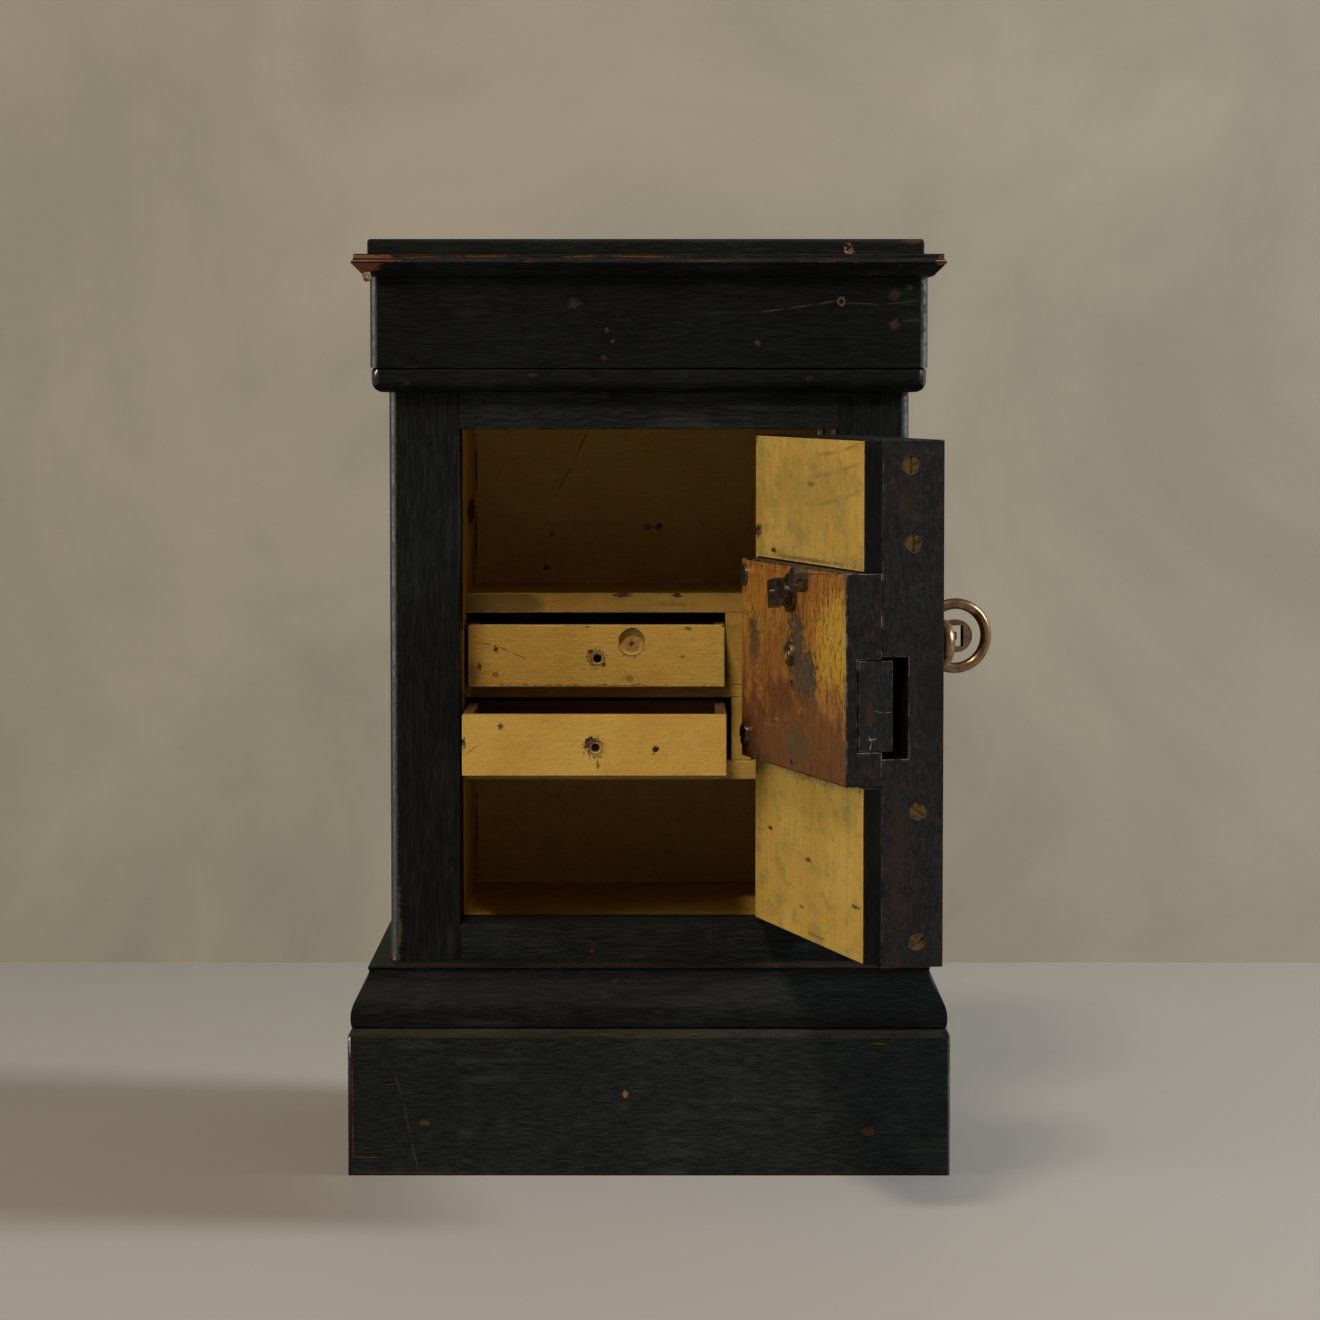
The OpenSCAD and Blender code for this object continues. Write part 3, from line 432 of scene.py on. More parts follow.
# The marks on single faces: colour, place and look, and the width in millimetres where the place is
# a line. A place is a box or a line of points, in the photograph's pixels.
FRIEZE_ROWS = [
    ("#3b2f26", (885, 287, 901, 303), FAINT),
    ("#33312c", (903, 283, 912, 294), FAINT),
    ("#3b2f26", (886, 318, 900, 332), FAINT | {"amount": 0.8}),
    ("#33312c", (896, 318, 925, 324), FAINT),
    ("#3a3a34", (753, 339, 761, 347), FAINT | {"amount": 0.8}),
    ("#3a3a34", (567, 296, 583, 312), FAINT),
    ("#44443d", (604, 327, 610, 334), FAINT),
    ("#44443d", (610, 338, 616, 344), FAINT),
    ("#4a2c18", (600, 354, 609, 362), FAINT),
    ("#3b352d", [(757, 313), (785, 309), (815, 305), (836, 301)], 1.3, {"amount": 0.8}),
    ("#3a342c", [(840, 303), (880, 305), (921, 301)], 0.9, {"amount": 0.8}),
    ("#6b5a40", (835, 297, 845, 307), {"amount": 0.6, "ragged": 0.2}),
    ("#141412", (837, 299, 843, 305), {"ragged": 0.1}),
]
BEAD_ROWS = [
    ("#3a2717", [(395, 368.5), (560, 368.5), (720, 368), (920, 367)], 1.2, WORN_LINE),
    ("#33332e", (526, 371, 540, 378), FAINT),
    ("#3a2c22", (803, 375, 814, 381), FAINT),
    ("#33332e", (404, 380, 414, 385), FAINT),
]
CORNICE_ROWS = [
    ("#6c482e", (334, 248, 386, 276), {"ragged": 0.3, "soft": 0.25, "deep": 16}),
    ("#6b3a20", (370, 253, 404, 265), {"ragged": 0.6, "soft": 0.5, "grain": 300.0}),
    ("#5a3018", [(395, 259), (450, 257.5), (520, 257)], 1.6, WORN_LINE),
    ("#6b3a20", [(560, 258), (600, 257), (680, 258)], 1.2, WORN_LINE),
    ("#5a3018", [(640, 264), (740, 261), (845, 259)], 1.1, WORN_LINE),
    ("#7a4a2c", [(855, 275), (890, 274.5)], 0.8, WORN_LINE),
    ("#8a6a3c", (888, 266, 893, 271), {"ragged": 0.3}),
    ("#8a6a3c", (897, 265, 903, 271), {"ragged": 0.3}),
    ("#8a5c36", (931, 256, 948, 268), {"ragged": 0.5, "soft": 0.4, "deep": 6}),
]
CAP_ROWS = [
    ("#7a5030", (843, 244, 852, 260), CHIPPED),
    ("#4a3020", (900, 239, 922, 246), CHIPPED | {"amount": 0.6}),
    ("#2b2a26", (740, 248, 770, 254), FAINT),
]
PLINTH_ROWS = [
    ("#2f261d", [(352, 1033), (560, 1033), (760, 1033), (965, 1033)], 5.0, FAINT | {"deep": 6}),
    ("#4a3320", [(352, 1038.3), (560, 1038.3), (760, 1038.3), (965, 1038.3)], 0.8,
        {"ragged": 0.8, "amount": 0.6}),
    ("#7a5a30", (622, 1091, 628, 1100), {"ragged": 0.4}),
    ("#4a4436", (733, 1098, 737, 1104), FAINT),
    ("#33342f", [(393, 1072), (402, 1102), (409, 1140), (418, 1176)], 2.2, {"amount": 0.75}),
    ("#4a3a22", (418, 1122, 429, 1128), CHIPPED),
    ("#4a3018", (862, 1130, 876, 1138), CHIPPED | {"amount": 0.8}),
    ("#5a3a1c", [(352, 1160), (384, 1160)], 0.8, {"ragged": 0.6}),
    ("#6b5428", [(872, 1044.5), (888, 1045)], 0.8, {"ragged": 0.5}),
    ("#4a2a18", [(352, 1175), (480, 1176.5)], 1.2, {"ragged": 0.7}),
    ("#3a2618", [(480, 1176.5), (700, 1177), (940, 1176)], 0.9, {"ragged": 0.8, "amount": 0.7}),
    ("#6b4a2c", [(351, 1060), (351, 1110), (352, 1170)], 0.7, {"ragged": 0.8, "amount": 0.7}),
]
MOULDING_ROWS = [
    ("#33251a", [(372, 965), (500, 965), (700, 965), (930, 965)], 3.0, WORN_LINE | {"deep": 12}),
    ("#33332d", (600, 975, 640, 984), FAINT | {"deep": 9}),
    ("#5a4a2e", (366, 985, 371, 989), {"ragged": 0.3, "deep": 9}),
]
STILE_ROWS = [
    # partly rubbed wear, partly painted highlight: the two grey lines along the stile's left arris stand for its
    # glossy highlight
    ("#3c3d38", [(395, 400), (395.5, 640), (396, 900)], 3.0, RUBBED_AND_HIGHLIGHT | {"amount": 0.7}),
    ("#46473f", [(397, 880), (398, 962)], 4.5, RUBBED_AND_HIGHLIGHT | {"amount": 0.8}),
    ("#4a3220", (392, 925, 399, 934), CHIPPED),
    ("#3a2412", [(459, 633), (461, 650), (458.5, 667)], 1.0, {"ragged": 0.4}),
]
RAIL_ROWS = [("#8a1414", (590, 949.5, 594, 952.5), {"ragged": 0.2})]
UPPER_ROWS = [
    ("#4c3413", (586, 646, 607, 667), HOLE_RIM | {"amount": 0.75}),
    ("#a9863c", (589, 649, 604, 664), HOLE_RIM | {"amount": 0.6}),
    ("#3a250f", (591, 651, 603, 663), HOLE_RIM),
    ("#4a3314", (617.5, 628, 645.5, 656), {"ragged": 0.25, "soft": 0.15, "deep": 2, "amount": 0.85}),
    ("#b48d3c", (619.5, 630, 643.5, 654), {"ragged": 0.2, "soft": 0.2, "deep": 9}),
    ("#7d5f28", (621, 632, 644, 654), {"ragged": 0.8, "soft": 0.5, "deep": 9, "amount": 0.6}),
    ("#2c1d0c", (628.8, 639, 634.6, 645.5), {"ragged": 0.3, "deep": 9}),
    ("#4c3413", [(475.7, 640.5), (495.5, 643.5), (511.3, 650.4), (528, 657.7)], 0.7),
    ("#5d4319", (477, 661, 482, 670), CHIPPED),
    ("#5d4319", (491, 670, 500, 676), CHIPPED | {"amount": 0.7}),
    ("#4c3413", (494, 644, 499, 651), CHIPPED),
    ("#4c3413", (584, 621, 591, 626), CHIPPED),
    ("#4c3413", (684, 624, 692, 629), CHIPPED | {"amount": 0.7}),
    ("#5d4319", (680, 653, 685, 657), CHIPPED | {"amount": 0.7}),
    ("#7c6530", (620, 671, 640, 682), FAINT | {"amount": 0.8}),
    # painted shade: this row darkens the left end of the upper drawer front, where the left stile shades it
    ("#77612c", (464, 655, 482, 690), FAINT | {"amount": 0.7}),
    ("#5a401a", (466, 682, 730, 688), FOOT_GRIME | {"amount": 0.8}),
]
LOWER_ROWS = [
    ("#4c3413", (583, 734, 607, 758), HOLE_RIM | {"amount": 0.8}),
    ("#a9863c", (590, 740, 605, 755), HOLE_RIM | {"amount": 0.6}),
    ("#2e1d0c", (584, 736, 600, 750), HOLE_RIM),
    ("#3a250f", (590, 741, 601, 752.5), HOLE_RIM),
    ("#2e1d0c", (653, 744, 660, 751), CHIPPED),
    ("#4c3413", [(656, 749), (652, 755)], 1.3, {"ragged": 0.5}),
    ("#7b6f6a", [(463.8, 755), (479.6, 743)], 1.1, {"ragged": 0.5}),
    ("#4c3413", (497, 722, 504, 729), CHIPPED),
    ("#4c3413", (596, 760, 600, 768), CHIPPED | {"amount": 0.7}),
    ("#b9ab8e", [(700, 773), (728, 773)], 1.4, {"ragged": 0.9, "amount": 0.8}),
    ("#5a401a", (462, 774, 730, 780), FOOT_GRIME | {"amount": 0.7}),
    ("#4c3413", (462, 736, 466, 748), CHIPPED),
]
PANEL_ROWS = [
    # partly painted shade: the first row makes the panel above the lock darker, and greener as its paint is
    ("#8f7a3c", (735, 430, 885, 572), {"soft": 0.9, "ragged": 0.6, "grain": 90.0, "amount": 0.45}),
    ("#7f6a3a", (806, 480, 815, 487), CHIPPED),
    ("#3a2510", (771, 546, 776, 552), CHIPPED),
    ("#3a2510", (754, 521, 762, 537), CHIPPED),
    ("#8a5a20", (802, 928, 832, 946), STAIN),
    ("#5b4014", (805, 856, 812, 864), CHIPPED),
    ("#5b4014", (852, 904, 860, 912), CHIPPED),
    ("#5b4014", (799, 904, 805, 910), CHIPPED | {"amount": 0.7}),
    ("#3a2510", (768, 824, 773, 830), CHIPPED),
    ("#2a1c10", [(757, 762), (758.5, 775)], 3.0, {"ragged": 0.7}),
    ("#4a3312", (750, 764, 880, 776), {"soft": 0.8, "ragged": 0.8, "amount": 0.7}),
    ("#5b4518", (755, 553, 870, 566), {"soft": 0.8, "ragged": 0.9, "amount": 0.75}),
    ("#5b4518", [(866, 444), (866, 500), (866, 562)], 5.0, {"ragged": 0.9, "amount": 0.6}),
    ("#5b4518", [(867, 790), (867, 880), (867, 960)], 5.0, {"ragged": 0.9, "amount": 0.6}),
    ("#6f6238", [(815, 455), (838, 452), (860, 444)], 2.4, {"amount": 0.6, "ragged": 0.6}),
    ("#6f6238", [(808, 478), (836, 472), (864, 462)], 2.4, {"amount": 0.5, "ragged": 0.6}),
    ("#6f6238", [(812, 505), (840, 500), (866, 488)], 2.2, {"amount": 0.45, "ragged": 0.6}),
]
BACK_ROWS = [
    ("#050403", [(477, 428), (477, 500), (476.5, 578)], 1.8, {"ragged": 0.7}),
    ("#050403", [(477, 780), (476.5, 870)], 1.6, {"ragged": 0.7}),
    ("#2a0f06", [(590, 425), (574, 460), (555, 495)], 1.1, {"amount": 0.8}),
    ("#1c0d05", (543, 562, 550, 568), CHIPPED),
    ("#1c0d05", (549, 528, 555, 534), CHIPPED | {"amount": 0.7}),
    ("#1c0d05", (655, 520, 663, 528), CHIPPED),
    ("#1c0d05", (643, 522, 653, 528), CHIPPED | {"amount": 0.7}),
    # painted glint: the small near-white spot
    ("#efe6d2", (587, 577.5, 590.6, 582.2), {"ragged": 0.1, "soft": 0.2}),
]
LEFT_ROWS = [("#030303", (467.5, 498.6, 476.7, 518), {"ragged": 0.15, "soft": 0.2})]
SHELF_ROWS = [
    # painted shade: the first row darkens the left part of the shelf's front edge, where the left stile shades it
    ("#664e20", (448, 586, 552, 617), {"soft": 0.3, "ragged": 0.12, "grain": 60.0, "amount": 0.75}),
    ("#4c3413", (613, 590, 633, 596), CHIPPED),
    ("#4c3413", (672, 591, 682, 596), CHIPPED),
    ("#7a6630", (640, 598, 700, 606), FAINT),
]
LOCK_ROWS = [
    ("#bd9129", (806, 570, 866, 735), CLOUD),
    ("#bb9230", (818, 575, 858, 700), CLOUD),
    ("#b58a2a", (741, 575, 766, 690), CLOUD | {"amount": 0.8}),
    ("#9a6a2c", (758, 575, 812, 680), CLOUD | {"amount": 0.7}),
    ("#8a5018", (700, 600, 812, 720), SMOULDER | {"amount": 0.8}),
    ("#613517", (690, 640, 930, 900), SMOULDER | {"amount": 0.92}),
    ("#a06c2c", (808, 672, 850, 735), CLOUD | {"amount": 0.8}),
    ("#3a2215", (640, 690, 800, 900), SMOULDER | {"amount": 0.9}),
    ("#1f1510", (690, 740, 775, 850), SMOULDER | {"amount": 0.8}),
    ("#423a2e", (786, 600, 806, 700), WORN_THROUGH),
    ("#423a2e", (796, 640, 818, 712), WORN_THROUGH),
    ("#423a2e", (782, 715, 812, 770), WORN_THROUGH | {"amount": 0.6}),
    ("#2f2a22", (748, 605, 760, 672), WORN_THROUGH | {"amount": 0.8}),
    ("#2f2a22", (742, 556, 862, 568), WORN_THROUGH | {"amount": 0.7}),
]
LOCK_SCRATCHES = [
    ("#8b7a62", [(764, 712), (765, 740)], 0.7, {"amount": 0.7}),
    ("#8b7a62", [(771, 717), (781, 718)], 0.7, {"amount": 0.7}),
    ("#9a8a70", [(757, 722), (790, 726)], 0.5, {"amount": 0.4}),
]
STRIP_ROWS = [
    ("#331e17", (886, 765, 912, 960), STAIN | {"deep": 6, "amount": 0.5}),
    ("#2b1e19", (896, 440, 920, 560), STAIN | {"deep": 6, "amount": 0.5}),
    ("#3a241a", (905, 512, 928, 524), STAIN | {"deep": 6, "amount": 0.4}),
    ("#10100f", (918, 600, 950, 780), STAIN | {"deep": 6}),
    # painted highlight: the pale line along the strip's left arris
    ("#5a625f", [(884.3, 444), (884.5, 640), (884.6, 820), (884.7, 1000)], 0.7,
        {"ragged": 0.6, "amount": 0.8}),
]
BOLT_ROWS = [
    ("#2c211b", (864, 690, 876, 730), STAIN),
    ("#6e675d", [(874, 711), (884, 713), (892, 712)], 0.5, {"amount": 0.7}),
    ("#857c70", [(870, 751), (872, 742), (869, 737)], 0.8, {"ragged": 0.7}),
    ("#857c70", [(868, 741), (876, 739)], 0.6, {"ragged": 0.7}),
]


# How dark the streaks are, and how high streaks and flecks stand
STREAK_DARK = 0.6
STREAK_RISE = 0.4
FLECK_RISE = -0.8


def lock_paint(name):
    """Old paint on the lock case: ochre at its free end, burnt orange and red-brown elsewhere."""
    f = Finish(name)
    dark = colour("#2e1d11")
    flecks = f.noise(f.place(scale=(1, 1, 0.4)), scale=520, detail=6, rough=0.78)
    drift = f.noise(f.coords, scale=60, detail=6, rough=0.7)
    streaks = f.noise(f.place(scale=(1, 1, 0.15)), scale=240, detail=5, rough=0.7)
    base = f.mix(f.fade(drift, low=0.35, high=0.62), colour("#985f1e"), colour("#a8701f"))
    base = f.marks(base, LOCK, LOCK_ROWS)
    base = f.mix(f.times(f.fade(streaks, low=0.46, high=0.7), STREAK_DARK), base, dark)
    base = f.mix(f.fade(flecks, low=0.53, high=0.59), base, dark)
    base = f.marks(base, LOCK, LOCK_SCRATCHES)
    height = f.plus(f.times(flecks, FLECK_RISE), f.times(streaks, STREAK_RISE))
    return f.finish(base, rough=0.42, height=height, depth=0.0003)


FINISHES = {
    "ebony_x": ebonised("ebonised_across", "X"),
    "ebony_y": ebonised("ebonised_deep", "Y"),
    "ebony_z": ebonised("ebonised_upright", "Z"),
    "edge": ebonised("ebonised_arris", "X", worn=0.8),
    "corner": ebonised("ebonised_corner", "none", worn=0.25, sheen=0.6, polish=0.2, ripple=1.6),
    "door_edge": ebonised("ebonised_door_edge", "Z", shade=0.45),
    "frieze": ebonised("ebonised_frieze", "X", face=FRIEZE, rows=FRIEZE_ROWS, shade=0.65),
    "bead": ebonised("ebonised_bead", "X", face=BEAD, rows=BEAD_ROWS, shade=0.8),
    "cornice": ebonised("ebonised_cornice", "X", face=CORNICE, rows=CORNICE_ROWS),
    "cap": ebonised("ebonised_cap", "X", face=CAP, rows=CAP_ROWS),
    "plinth": ebonised("ebonised_plinth", "X", face=PLINTH, rows=PLINTH_ROWS, shade=1.9),
    "moulding": ebonised("ebonised_moulding", "X", face=MOULDING, rows=MOULDING_ROWS),
    "stile": ebonised("ebonised_stile", "Z", face=STILE, rows=STILE_ROWS),
    "rail": ebonised("ebonised_rail", "X", face=STILE, rows=RAIL_ROWS, shade=1.5),
    "ochre_x": ochre_paint("ochre_across", "X"),
    "ochre_z": ochre_paint("ochre_upright", "Z"),
    "ochre_left": ochre_paint("ochre_left", "Z", wear=0.4, face=LEFT, rows=LEFT_ROWS),
    "ochre_back": ochre_paint("ochre_back", "X", wear=0.3, face=BACK, rows=BACK_ROWS),
    "ochre_shelf": ochre_paint("ochre_shelf", "X", wear=0.4, face=SHELF, rows=SHELF_ROWS),
    "ochre_upper": ochre_paint("ochre_upper_drawer", "X", wear=0.25, face=UPPER, rows=UPPER_ROWS),
    "ochre_lower": ochre_paint("ochre_lower_drawer", "X", wear=0.25, face=LOWER, rows=LOWER_ROWS),
    "ochre_door": ochre_paint("ochre_door", "Z", wear=1.0, face=PANEL, rows=PANEL_ROWS),
    "ochre_edge": ochre_paint("ochre_arris", "X", wear=1.6),
    "deal_x": bare_wood("deal_across", "X", "#5b3a22", "#43261a"),
    "deal_y": bare_wood("deal_deep", "Y", "#5b3a22", "#43261a"),
    "broken": bare_wood("broken_wood", "X", "#86603e", "#523822"),
    "iron": blackened_iron("iron"),
    "strip": blackened_iron("iron_strip", rust=0.28, face=STRIP, rows=STRIP_ROWS),
    "bolt": blackened_iron("iron_bolt", rust=0.25, face=BOLT, rows=BOLT_ROWS),
    # iron_arris: steel grey along the iron arrises, partly worn bare steel and partly a painted highlight
    "iron_edge": blackened_iron("iron_arris", bright=0.45),
    "steel": aged_metal("steel", "#8a857c", "#3a3733", rough=0.2),
    "brass": aged_metal("brass", "#705a34", "#281f15", rough=0.3),
    "bronze": aged_metal("bronze", "#94785a", "#5a4331", rough=0.14, scale=90.0, depth=0.00002),
    "through_bolt": through_bolt("through_bolt"),
    "lock": lock_paint("lock_paint"),
}

# The finish of each node; one that isn't named in NAMED takes its slot's
DEFAULT = {
    "ebony": "ebony_x",
    "ochre": "ochre_x",
    "deal": "deal_x",
    "iron": "iron",
    "steel": "steel",
    "brass": "brass",
    "lock_paint": "lock",
}
NAMED = {
    "ebony_z": ["right_stile", "left_side", "right_side", "back_panel", "door_core"],
    "ebony_y": ["plinth_left", "plinth_right", "base_moulding_left", "base_moulding_right", "bead_left",
        "bead_right", "frieze_left", "frieze_right", "cornice_left", "cornice_right"],
    "frieze": ["frieze_front"],
    "bead": ["bead_front"],
    "cornice": ["cornice_front"],
    "cap": ["cap_board"],
    "plinth": ["plinth_front"],
    "moulding": ["base_moulding_front"],
    "stile": ["left_stile"],
    "rail": ["bottom_rail", "top_rail"],
    "ochre_z": ["right_lining", "upper_cheek", "lower_cheek"],
    "ochre_left": ["left_lining"],
    "ochre_back": ["back_lining"],
    "ochre_shelf": ["top_shelf"],
    "ochre_upper": ["upper_drawer_front"],
    "ochre_lower": ["lower_drawer_front"],
    "ochre_door": ["door_panel"],
    "deal_y": ["upper_drawer_sides", "upper_drawer_floor", "lower_drawer_sides", "lower_drawer_floor"],
    "strip": ["edge_strip"],
    "bolt": ["bolt"],
    "through_bolt": ["lock_through_bolt"],
    "bronze": ["key", "pull_knob"],
}
FINISH_OF = {node: DEFAULT[slot] for node, slot in SLOT_OF.items()}
FINISH_OF.update({node: name for name, nodes in NAMED.items() for node in nodes})

# Slots whose boards and plates have eased arrises: the width in millimetres, and the strip's finish
EASED = {
    "ebony": (0.7, "edge"),
    "ochre": (0.7, "ochre_edge"),
    "deal": (0.4, None),
    "lock_paint": (0.8, "iron_edge"),
    "iron": (0.4, "iron_edge"),
}

# Mitred boards go round the case in one piece
MITRED = [[part + side for side in ("_front", "_left", "_right")]
    for part in ("frieze", "bead", "cornice", "base_moulding", "plinth")]

# Nodes that show their own finish on one face alone, with the finishes of the others and of the strip
INWARD = Matrix.Rotation(DOOR_TURN, 3, "Z") @ Vector((0, 1, 0))
ONE_FACE = {"door_panel": (INWARD, "door_edge", "edge"), "lock_case": (INWARD, "iron", "iron_edge")}
FACE_COS = 0.5

# The rounded front corners of the case, which hands have polished: how far from the middle they
# start, how deep they go, the most that a normal there leans up or down, and the least that it turns
CORNER_OUT = 140 * MM
CORNER_DEEP = 7 * MM
CORNER_LEAN = 0.6
CORNER_TURN = 0.12

# Chips: face, place in the photograph, half-widths along, into and up the face in millimetres
CHIPS = {
    "cornice_front": [
        (CORNICE, 348, 253, (4, 6, 1.7)),
        (CORNICE, 349, 270, (5, 10, 2.6)),
        (CORNICE, 941, 258, (3, 3, 1.2)),
    ],
    "cap_board": [(CAP, 848, 251, (2.2, 1.4, 2.6))],
    "left_stile": [
        (STILE, 391, 930, (1.3, 2, 9)),
        (STILE, 392, 955, (1.6, 2, 5)),
        (STILE, 390, 900, (0.8, 1.5, 6)),
    ],
    "upper_drawer_front": [
        (UPPER, 591, 650, (1.6, 1, 1.4)),
        (UPPER, 604, 663, (1.2, 0.8, 1.2)),
        (UPPER, 724, 624, (1.5, 1.5, 1)),
    ],
    "lower_drawer_front": [
        (LOWER, 590, 740, (2.8, 1.1, 2.4)),
        (LOWER, 725, 776, (2, 1.5, 1)),
        (LOWER, 463, 741, (0.8, 1.5, 2.2)),
        (LOWER, 656, 748, (1.8, 1, 1.4)),
    ],
    "top_shelf": [(SHELF, 623, 591, (4, 1.2, 0.9)), (SHELF, 677, 592, (2, 1, 0.8))],
    "door_panel": [(PANEL, 758, 529, (5, 1.2, 3))],
}
# The bare wood that a chip shows
BARE = {"ebony": "broken", "ochre": "deal_x"}

# How each seed moves a lump's noise, and the strength and scale of its coarse and fine swellings
SEED_STEPS = (7.3, 3.1, 5.7)
COARSE, COARSE_SCALE = 0.45, 1.8
FINE, FINE_SCALE = 0.25, 5


def lump(name, face, px, py, radii, seed, finish):
    """A lumpy ball on a face; radii are along, into and up the face, in millimetres."""
    mesh = bpy.data.meshes.new(name)
    work = bmesh.new()
    bmesh.ops.create_icosphere(work, subdivisions=4, radius=1)
    shift = Vector([seed * step for step in SEED_STEPS])
    middle = face.at(px, py)
    turn = Matrix.Rotation(face.turn, 3, "Z")
    for v in work.verts:
        coarse = COARSE * noise.noise(v.co * COARSE_SCALE + shift)
        swell = 1 + coarse + FINE * noise.noise(v.co * FINE_SCALE + shift)
        v.co = middle + turn @ Vector([v.co[i] * swell * radii[i] * MM for i in range(3)])
    for shown in work.faces:
        shown.smooth = True
    work.to_mesh(mesh)
    work.free()
    mesh.materials.append(FINISHES[finish])
    made = bpy.data.objects.new(name, mesh)
    bpy.context.scene.collection.objects.link(made)
    return made


def apply_modifiers(piece):
    bpy.context.view_layer.update()
    graph = bpy.context.evaluated_depsgraph_get()
    made = bpy.data.meshes.new_from_object(piece.evaluated_get(graph))
    piece.modifiers.clear()
    piece.data = made


SMOOTH_BELOW = math.radians(38)
EASE_ABOVE = math.radians(40)
FLAT_BELOW = math.radians(0.5)
# Points this near are one, within a board and where two boards meet
SAME_POINT = 1e-6
SAME_AT_MITRE = 2e-5
# Longest edge of the facets that make a rounded corner
FACET = 1.5 * MM


def boards(nodes):
    """The nodes' solids as one, without the faces that meet inside."""
    work = bmesh.new()
    for index, node in enumerate(nodes):
        alone = bmesh.new()
        alone.from_mesh(frame["nodes"][node].data)
        bmesh.ops.remove_doubles(alone, verts=alone.verts, dist=SAME_POINT)
        bmesh.ops.dissolve_limit(alone, angle_limit=FLAT_BELOW, verts=alone.verts, edges=alone.edges)
        for shown in alone.faces:
            shown.material_index = min(index, 1)
        mesh = bpy.data.meshes.new(node)
        alone.to_mesh(mesh)
        alone.free()
        work.from_mesh(mesh)
    bmesh.ops.remove_doubles(work, verts=work.verts, dist=SAME_AT_MITRE)
    inner = [one for one in work.faces if all(len(border.link_faces) > 2 for border in one.edges)]
    bmesh.ops.delete(work, geom=inner, context="FACES_ONLY")
    return work


def polish_corners(mesh, front, index):
    """Gives the material at index to the rounded front corners of the case."""
    for shown in mesh.polygons:
        at_corner = abs(shown.center.x) > CORNER_OUT and shown.center.y < front + CORNER_DEEP
        turned = min(map(abs, shown.normal.xy)) > CORNER_TURN
        if at_corner and turned and abs(shown.normal.z) < CORNER_LEAN:
            shown.material_index = index


def chip_off(piece, cutter):
    """Cuts a lump out of a piece; the cut shows the lump's finish."""
    cut = piece.modifiers.new("chip", "BOOLEAN")
    cut.object = cutter
    cut.operation = "DIFFERENCE"
    cut.solver = "EXACT"
    cut.material_mode = "TRANSFER"
    apply_modifiers(piece)
    bpy.data.objects.remove(cutter)


def dress(nodes):
    """Stands one finished piece in for a board or for mitred boards, with eased arrises."""
    node = nodes[0]
    slot = SLOT_OF[node]
    ease, edge = EASED[slot]
    normal, other, edge = ONE_FACE.get(node, (None, None, edge))
    work = boards(nodes)
    front = min(v.co.y for v in work.verts)
    weight = work.edges.layers.float.new("bevel_weight_edge")
    for border in work.edges:
        mitre = len({shown.material_index for shown in border.link_faces}) > 1
        facet = len(nodes) > 1 and border.calc_length() < FACET
        arris = len(border.link_faces) == 2 and border.calc_face_angle() > EASE_ABOVE
        if arris and not mitre and not facet:
            border[weight] = 1
    for shown in work.faces:
        shown.smooth = True
        if normal and shown.normal.dot(normal) < FACE_COS:
            shown.material_index = 1
    mesh = bpy.data.meshes.new(node + "_finished")
    work.to_mesh(mesh)
    work.free()
    second = FINISH_OF[nodes[-1]] if len(nodes) > 1 else other
    names = [name for name in (FINISH_OF[node], second, edge) if name]
    for name in names:
        mesh.materials.append(FINISHES[name])
    piece = bpy.data.objects.new(mesh.name, mesh)
    bpy.context.scene.collection.objects.link(piece)
    bevel = piece.modifiers.new("ease", "BEVEL")
    bevel.width = ease * MM
    bevel.segments = 4
    bevel.limit_method = "WEIGHT"
    bevel.use_clamp_overlap = False
    bevel.material = len(names) - 1 if edge else -1
    apply_modifiers(piece)
    if edge == "edge":
        piece.data.materials.append(FINISHES["corner"])
        polish_corners(piece.data, front, len(names))
    for seed, chip in enumerate(CHIPS.get(node, ()), 1):
        chip_off(piece, lump("cutter", *chip, seed, BARE[slot]))
    piece.data.set_sharp_from_angle(angle=SMOOTH_BELOW)
    weights = piece.modifiers.new("weights", "WEIGHTED_NORMAL")
    weights.keep_sharp = True
    apply_modifiers(piece)
    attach(piece, BODY_OF[node])
    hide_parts(*nodes)


def paint(node):
    """Gives a CAD node its finish."""
    shown = frame["nodes"][node]
    if not shown.material_slots:
        shown.data.materials.append(None)
    for slot in shown.material_slots:
        slot.material = FINISHES[FINISH_OF[node]]


for nodes in MITRED:
    dress(nodes)
for node in sorted(frame["nodes"]):
    if SLOT_OF[node] not in EASED:
        paint(node)
    elif not any(node in nodes for nodes in MITRED):
        dress([node])


def lathe(name, face, px, py, outline, finish, body, slot, steps=48):
    """A turned piece on a face; its outline is radius against height off the face, in millimetres."""
    mesh = bpy.data.meshes.new(name)
    work = bmesh.new()
    middle = face.at(px, py)
    turn = Matrix.Rotation(face.turn, 3, "Z")
    spin = [2 * math.pi * i / steps for i in range(steps)]
    rings = []
    for radius, height in outline:
        ring = [Vector((radius * math.cos(a), height, radius * math.sin(a))) for a in spin]
        rings.append([work.verts.new(middle + turn @ point * MM) for point in ring])
    for low, high in zip(rings, rings[1:]):
        for i in range(steps):
            work.faces.new((low[i], high[i], high[i - 1], low[i - 1])).smooth = True
    work.faces.new(rings[0])
    work.faces.new(rings[-1][::-1])
    bmesh.ops.recalc_face_normals(work, faces=work.faces)
    work.to_mesh(mesh)
    work.free()
    mesh.set_sharp_from_angle(angle=SMOOTH_BELOW)
    mesh.materials.append(FINISHES[finish])
    piece = bpy.data.objects.new(name, mesh)
    bpy.context.scene.collection.objects.link(piece)
    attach(piece, body)


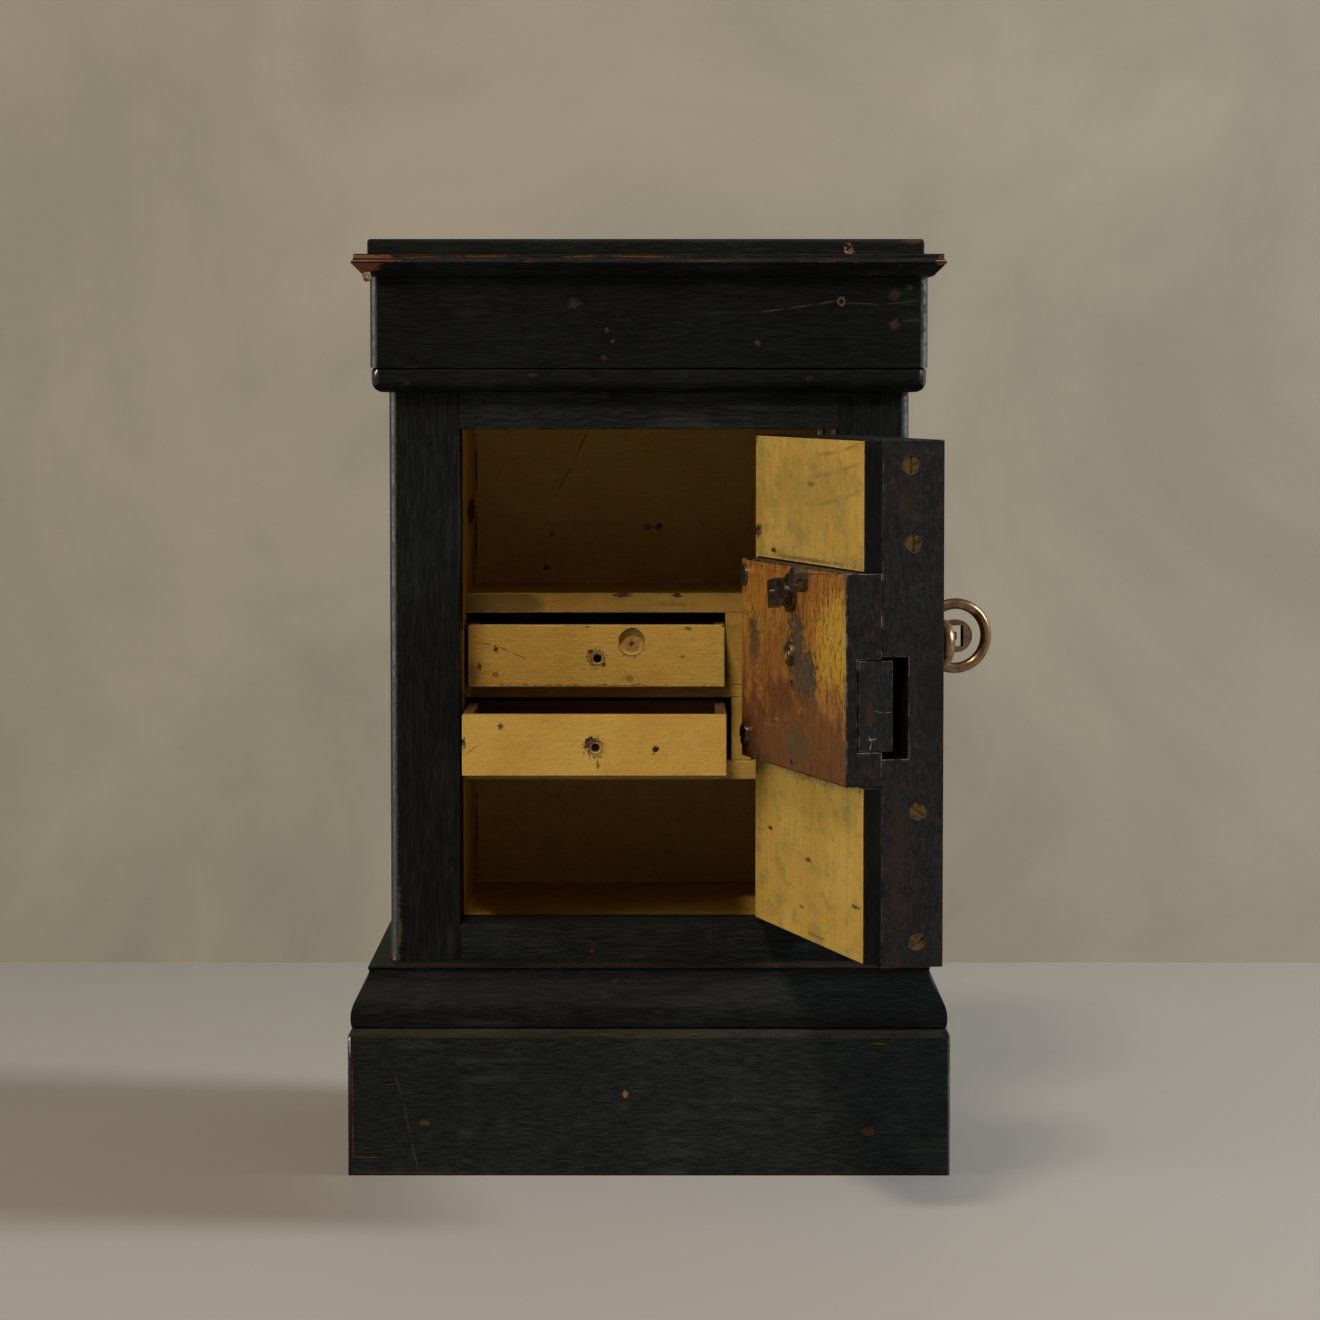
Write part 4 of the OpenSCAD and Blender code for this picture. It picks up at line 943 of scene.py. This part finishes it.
DRILL_PIN_AT = (791, 653)
DRILL_PIN = [(2.5, -1), (2.5, 1.8), (1.9, 2.3), (0.7, 2.4)]
DRILL_PIN_RIM = [(6.8, -1), (6.8, 1.6), (6.3, 2.3), (5.2, 2.4), (4.4, 1.6), (3.4, 1.2)]
lathe("drill_pin_rim", LOCK, *DRILL_PIN_AT, DRILL_PIN_RIM, "brass", "door", "brass")
lathe("drill_pin", LOCK, *DRILL_PIN_AT, DRILL_PIN, "steel", "door", "steel")

# The torn wood that hangs at the broken end of the cornice
SPLINTER_AT = (369, 277)
SPLINTER_RADII = (2.2, 5, 2.8)
SPLINTER_SEED = 4
splinter = lump("cornice_splinter", CORNICE, *SPLINTER_AT, SPLINTER_RADII, SPLINTER_SEED, "broken")
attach(splinter, "case")


# Floor and backdrop, in metres
FLOOR_BACK = 0.795
FLOOR_REACH = 3.5
WALL_FOOT = -0.4
WALL_H = 3.5
STAGE_ROUGH = 0.6
MOTTLE = {"Scale": 2.6, "Detail": 9, "Roughness": 0.62, "Distortion": 0.7}
MOTTLE_SHARES = (0.87, 1.13)


def flat(name, corners, tint, one_sided=False, mottled=False):
    """A flat sheet of the stage, mottled like a painted wall and clear from behind where asked."""
    mesh = bpy.data.meshes.new(name)
    mesh.from_pydata(corners, [], [range(len(corners))])
    f = Finish(name, Base_Color=colour(tint), Roughness=STAGE_ROUGH)
    if mottled:
        clouds = f.add("TexNoise", {"Vector": f.coords} | MOTTLE).outputs["Fac"]
        dark, light = ([v * share for v in colour(tint)] for share in MOTTLE_SHARES)
        f.finish(f.mix(f.fade(clouds, low=0.3, high=0.7), dark, light), STAGE_ROUGH)
    if one_sided:
        behind = f.add("NewGeometry").outputs["Backfacing"]
        clear = f.add("BsdfTransparent")
        both = f.add("MixShader", {0: behind, 1: f.shader.outputs[0], 2: clear.outputs[0]})
        f.tree.links.new(both.outputs[0], f.tree.nodes["Material Output"].inputs[0])
    mesh.materials.append(f.material)
    made = bpy.data.objects.new(name, mesh)
    bpy.context.scene.collection.objects.link(made)


floor_corners = [
    (-FLOOR_REACH, -FLOOR_REACH, 0),
    (FLOOR_REACH, -FLOOR_REACH, 0),
    (FLOOR_REACH, FLOOR_BACK, 0),
    (-FLOOR_REACH, FLOOR_BACK, 0),
]
wall_corners = [
    (-FLOOR_REACH, FLOOR_BACK, WALL_FOOT),
    (FLOOR_REACH, FLOOR_BACK, WALL_FOOT),
    (FLOOR_REACH, FLOOR_BACK, WALL_H),
    (-FLOOR_REACH, FLOOR_BACK, WALL_H),
]
flat("floor", floor_corners, "#8e8a85")
flat("backdrop", wall_corners, "#888273", one_sided=True, mottled=True)


# Light. Each row is a name, degrees to the right of the camera's side and degrees up, the distance
# from AIM and the size in metres, watts, and a tint.
AIM = Vector((0, -0.1, 0.28))
LAMPS = [
    ("front_high", -12, 55, 2.6, 0.45, 41, "#ffeacf"),
    ("left_side", -72, 9, 2.2, 2.0, 27, "#fbf6ee"),
    ("right_side", 83, 24, 3.4, 0.75, 165, "#f5faff"),
    ("back", 160, 30, 2.8, 1.2, 25, "#ffffff"),
]


def lamp(name, azimuth, elevation, away, size, watts, tint):
    """A round soft light that looks at AIM."""
    data = bpy.data.lights.new(name, "AREA")
    data.shape = "DISK"
    data.size = size
    data.energy = watts
    data.color = colour(tint)[:3]
    made = bpy.data.objects.new(name, data)
    across, up = math.radians(azimuth), math.radians(elevation)
    towards = Vector((math.sin(across) * math.cos(up), -math.cos(across) * math.cos(up), math.sin(up)))
    made.location = AIM + towards * away
    made.rotation_euler = towards.to_track_quat("Z", "Y").to_euler()
    bpy.context.scene.collection.objects.link(made)


for row in LAMPS:
    lamp(*row)

# The room is dim, but polished surfaces show it pale
ROOM_LIGHT = 0.1
ROOM_IN_GLOSS = 0.45
world = bpy.data.worlds.new("world")
world.use_nodes = True
room = world.node_tree.nodes
room["Background"].inputs["Color"].default_value = colour("#cfcac2")
glossy = room.new("ShaderNodeLightPath").outputs["Is Glossy Ray"]
strength = room.new("ShaderNodeMapRange")
strength.inputs["To Min"].default_value = ROOM_LIGHT
strength.inputs["To Max"].default_value = ROOM_IN_GLOSS
world.node_tree.links.new(glossy, strength.inputs["Value"])
world.node_tree.links.new(strength.outputs["Result"], room["Background"].inputs["Strength"])
bpy.context.scene.world = world
bpy.context.scene.view_settings.view_transform = "Standard"
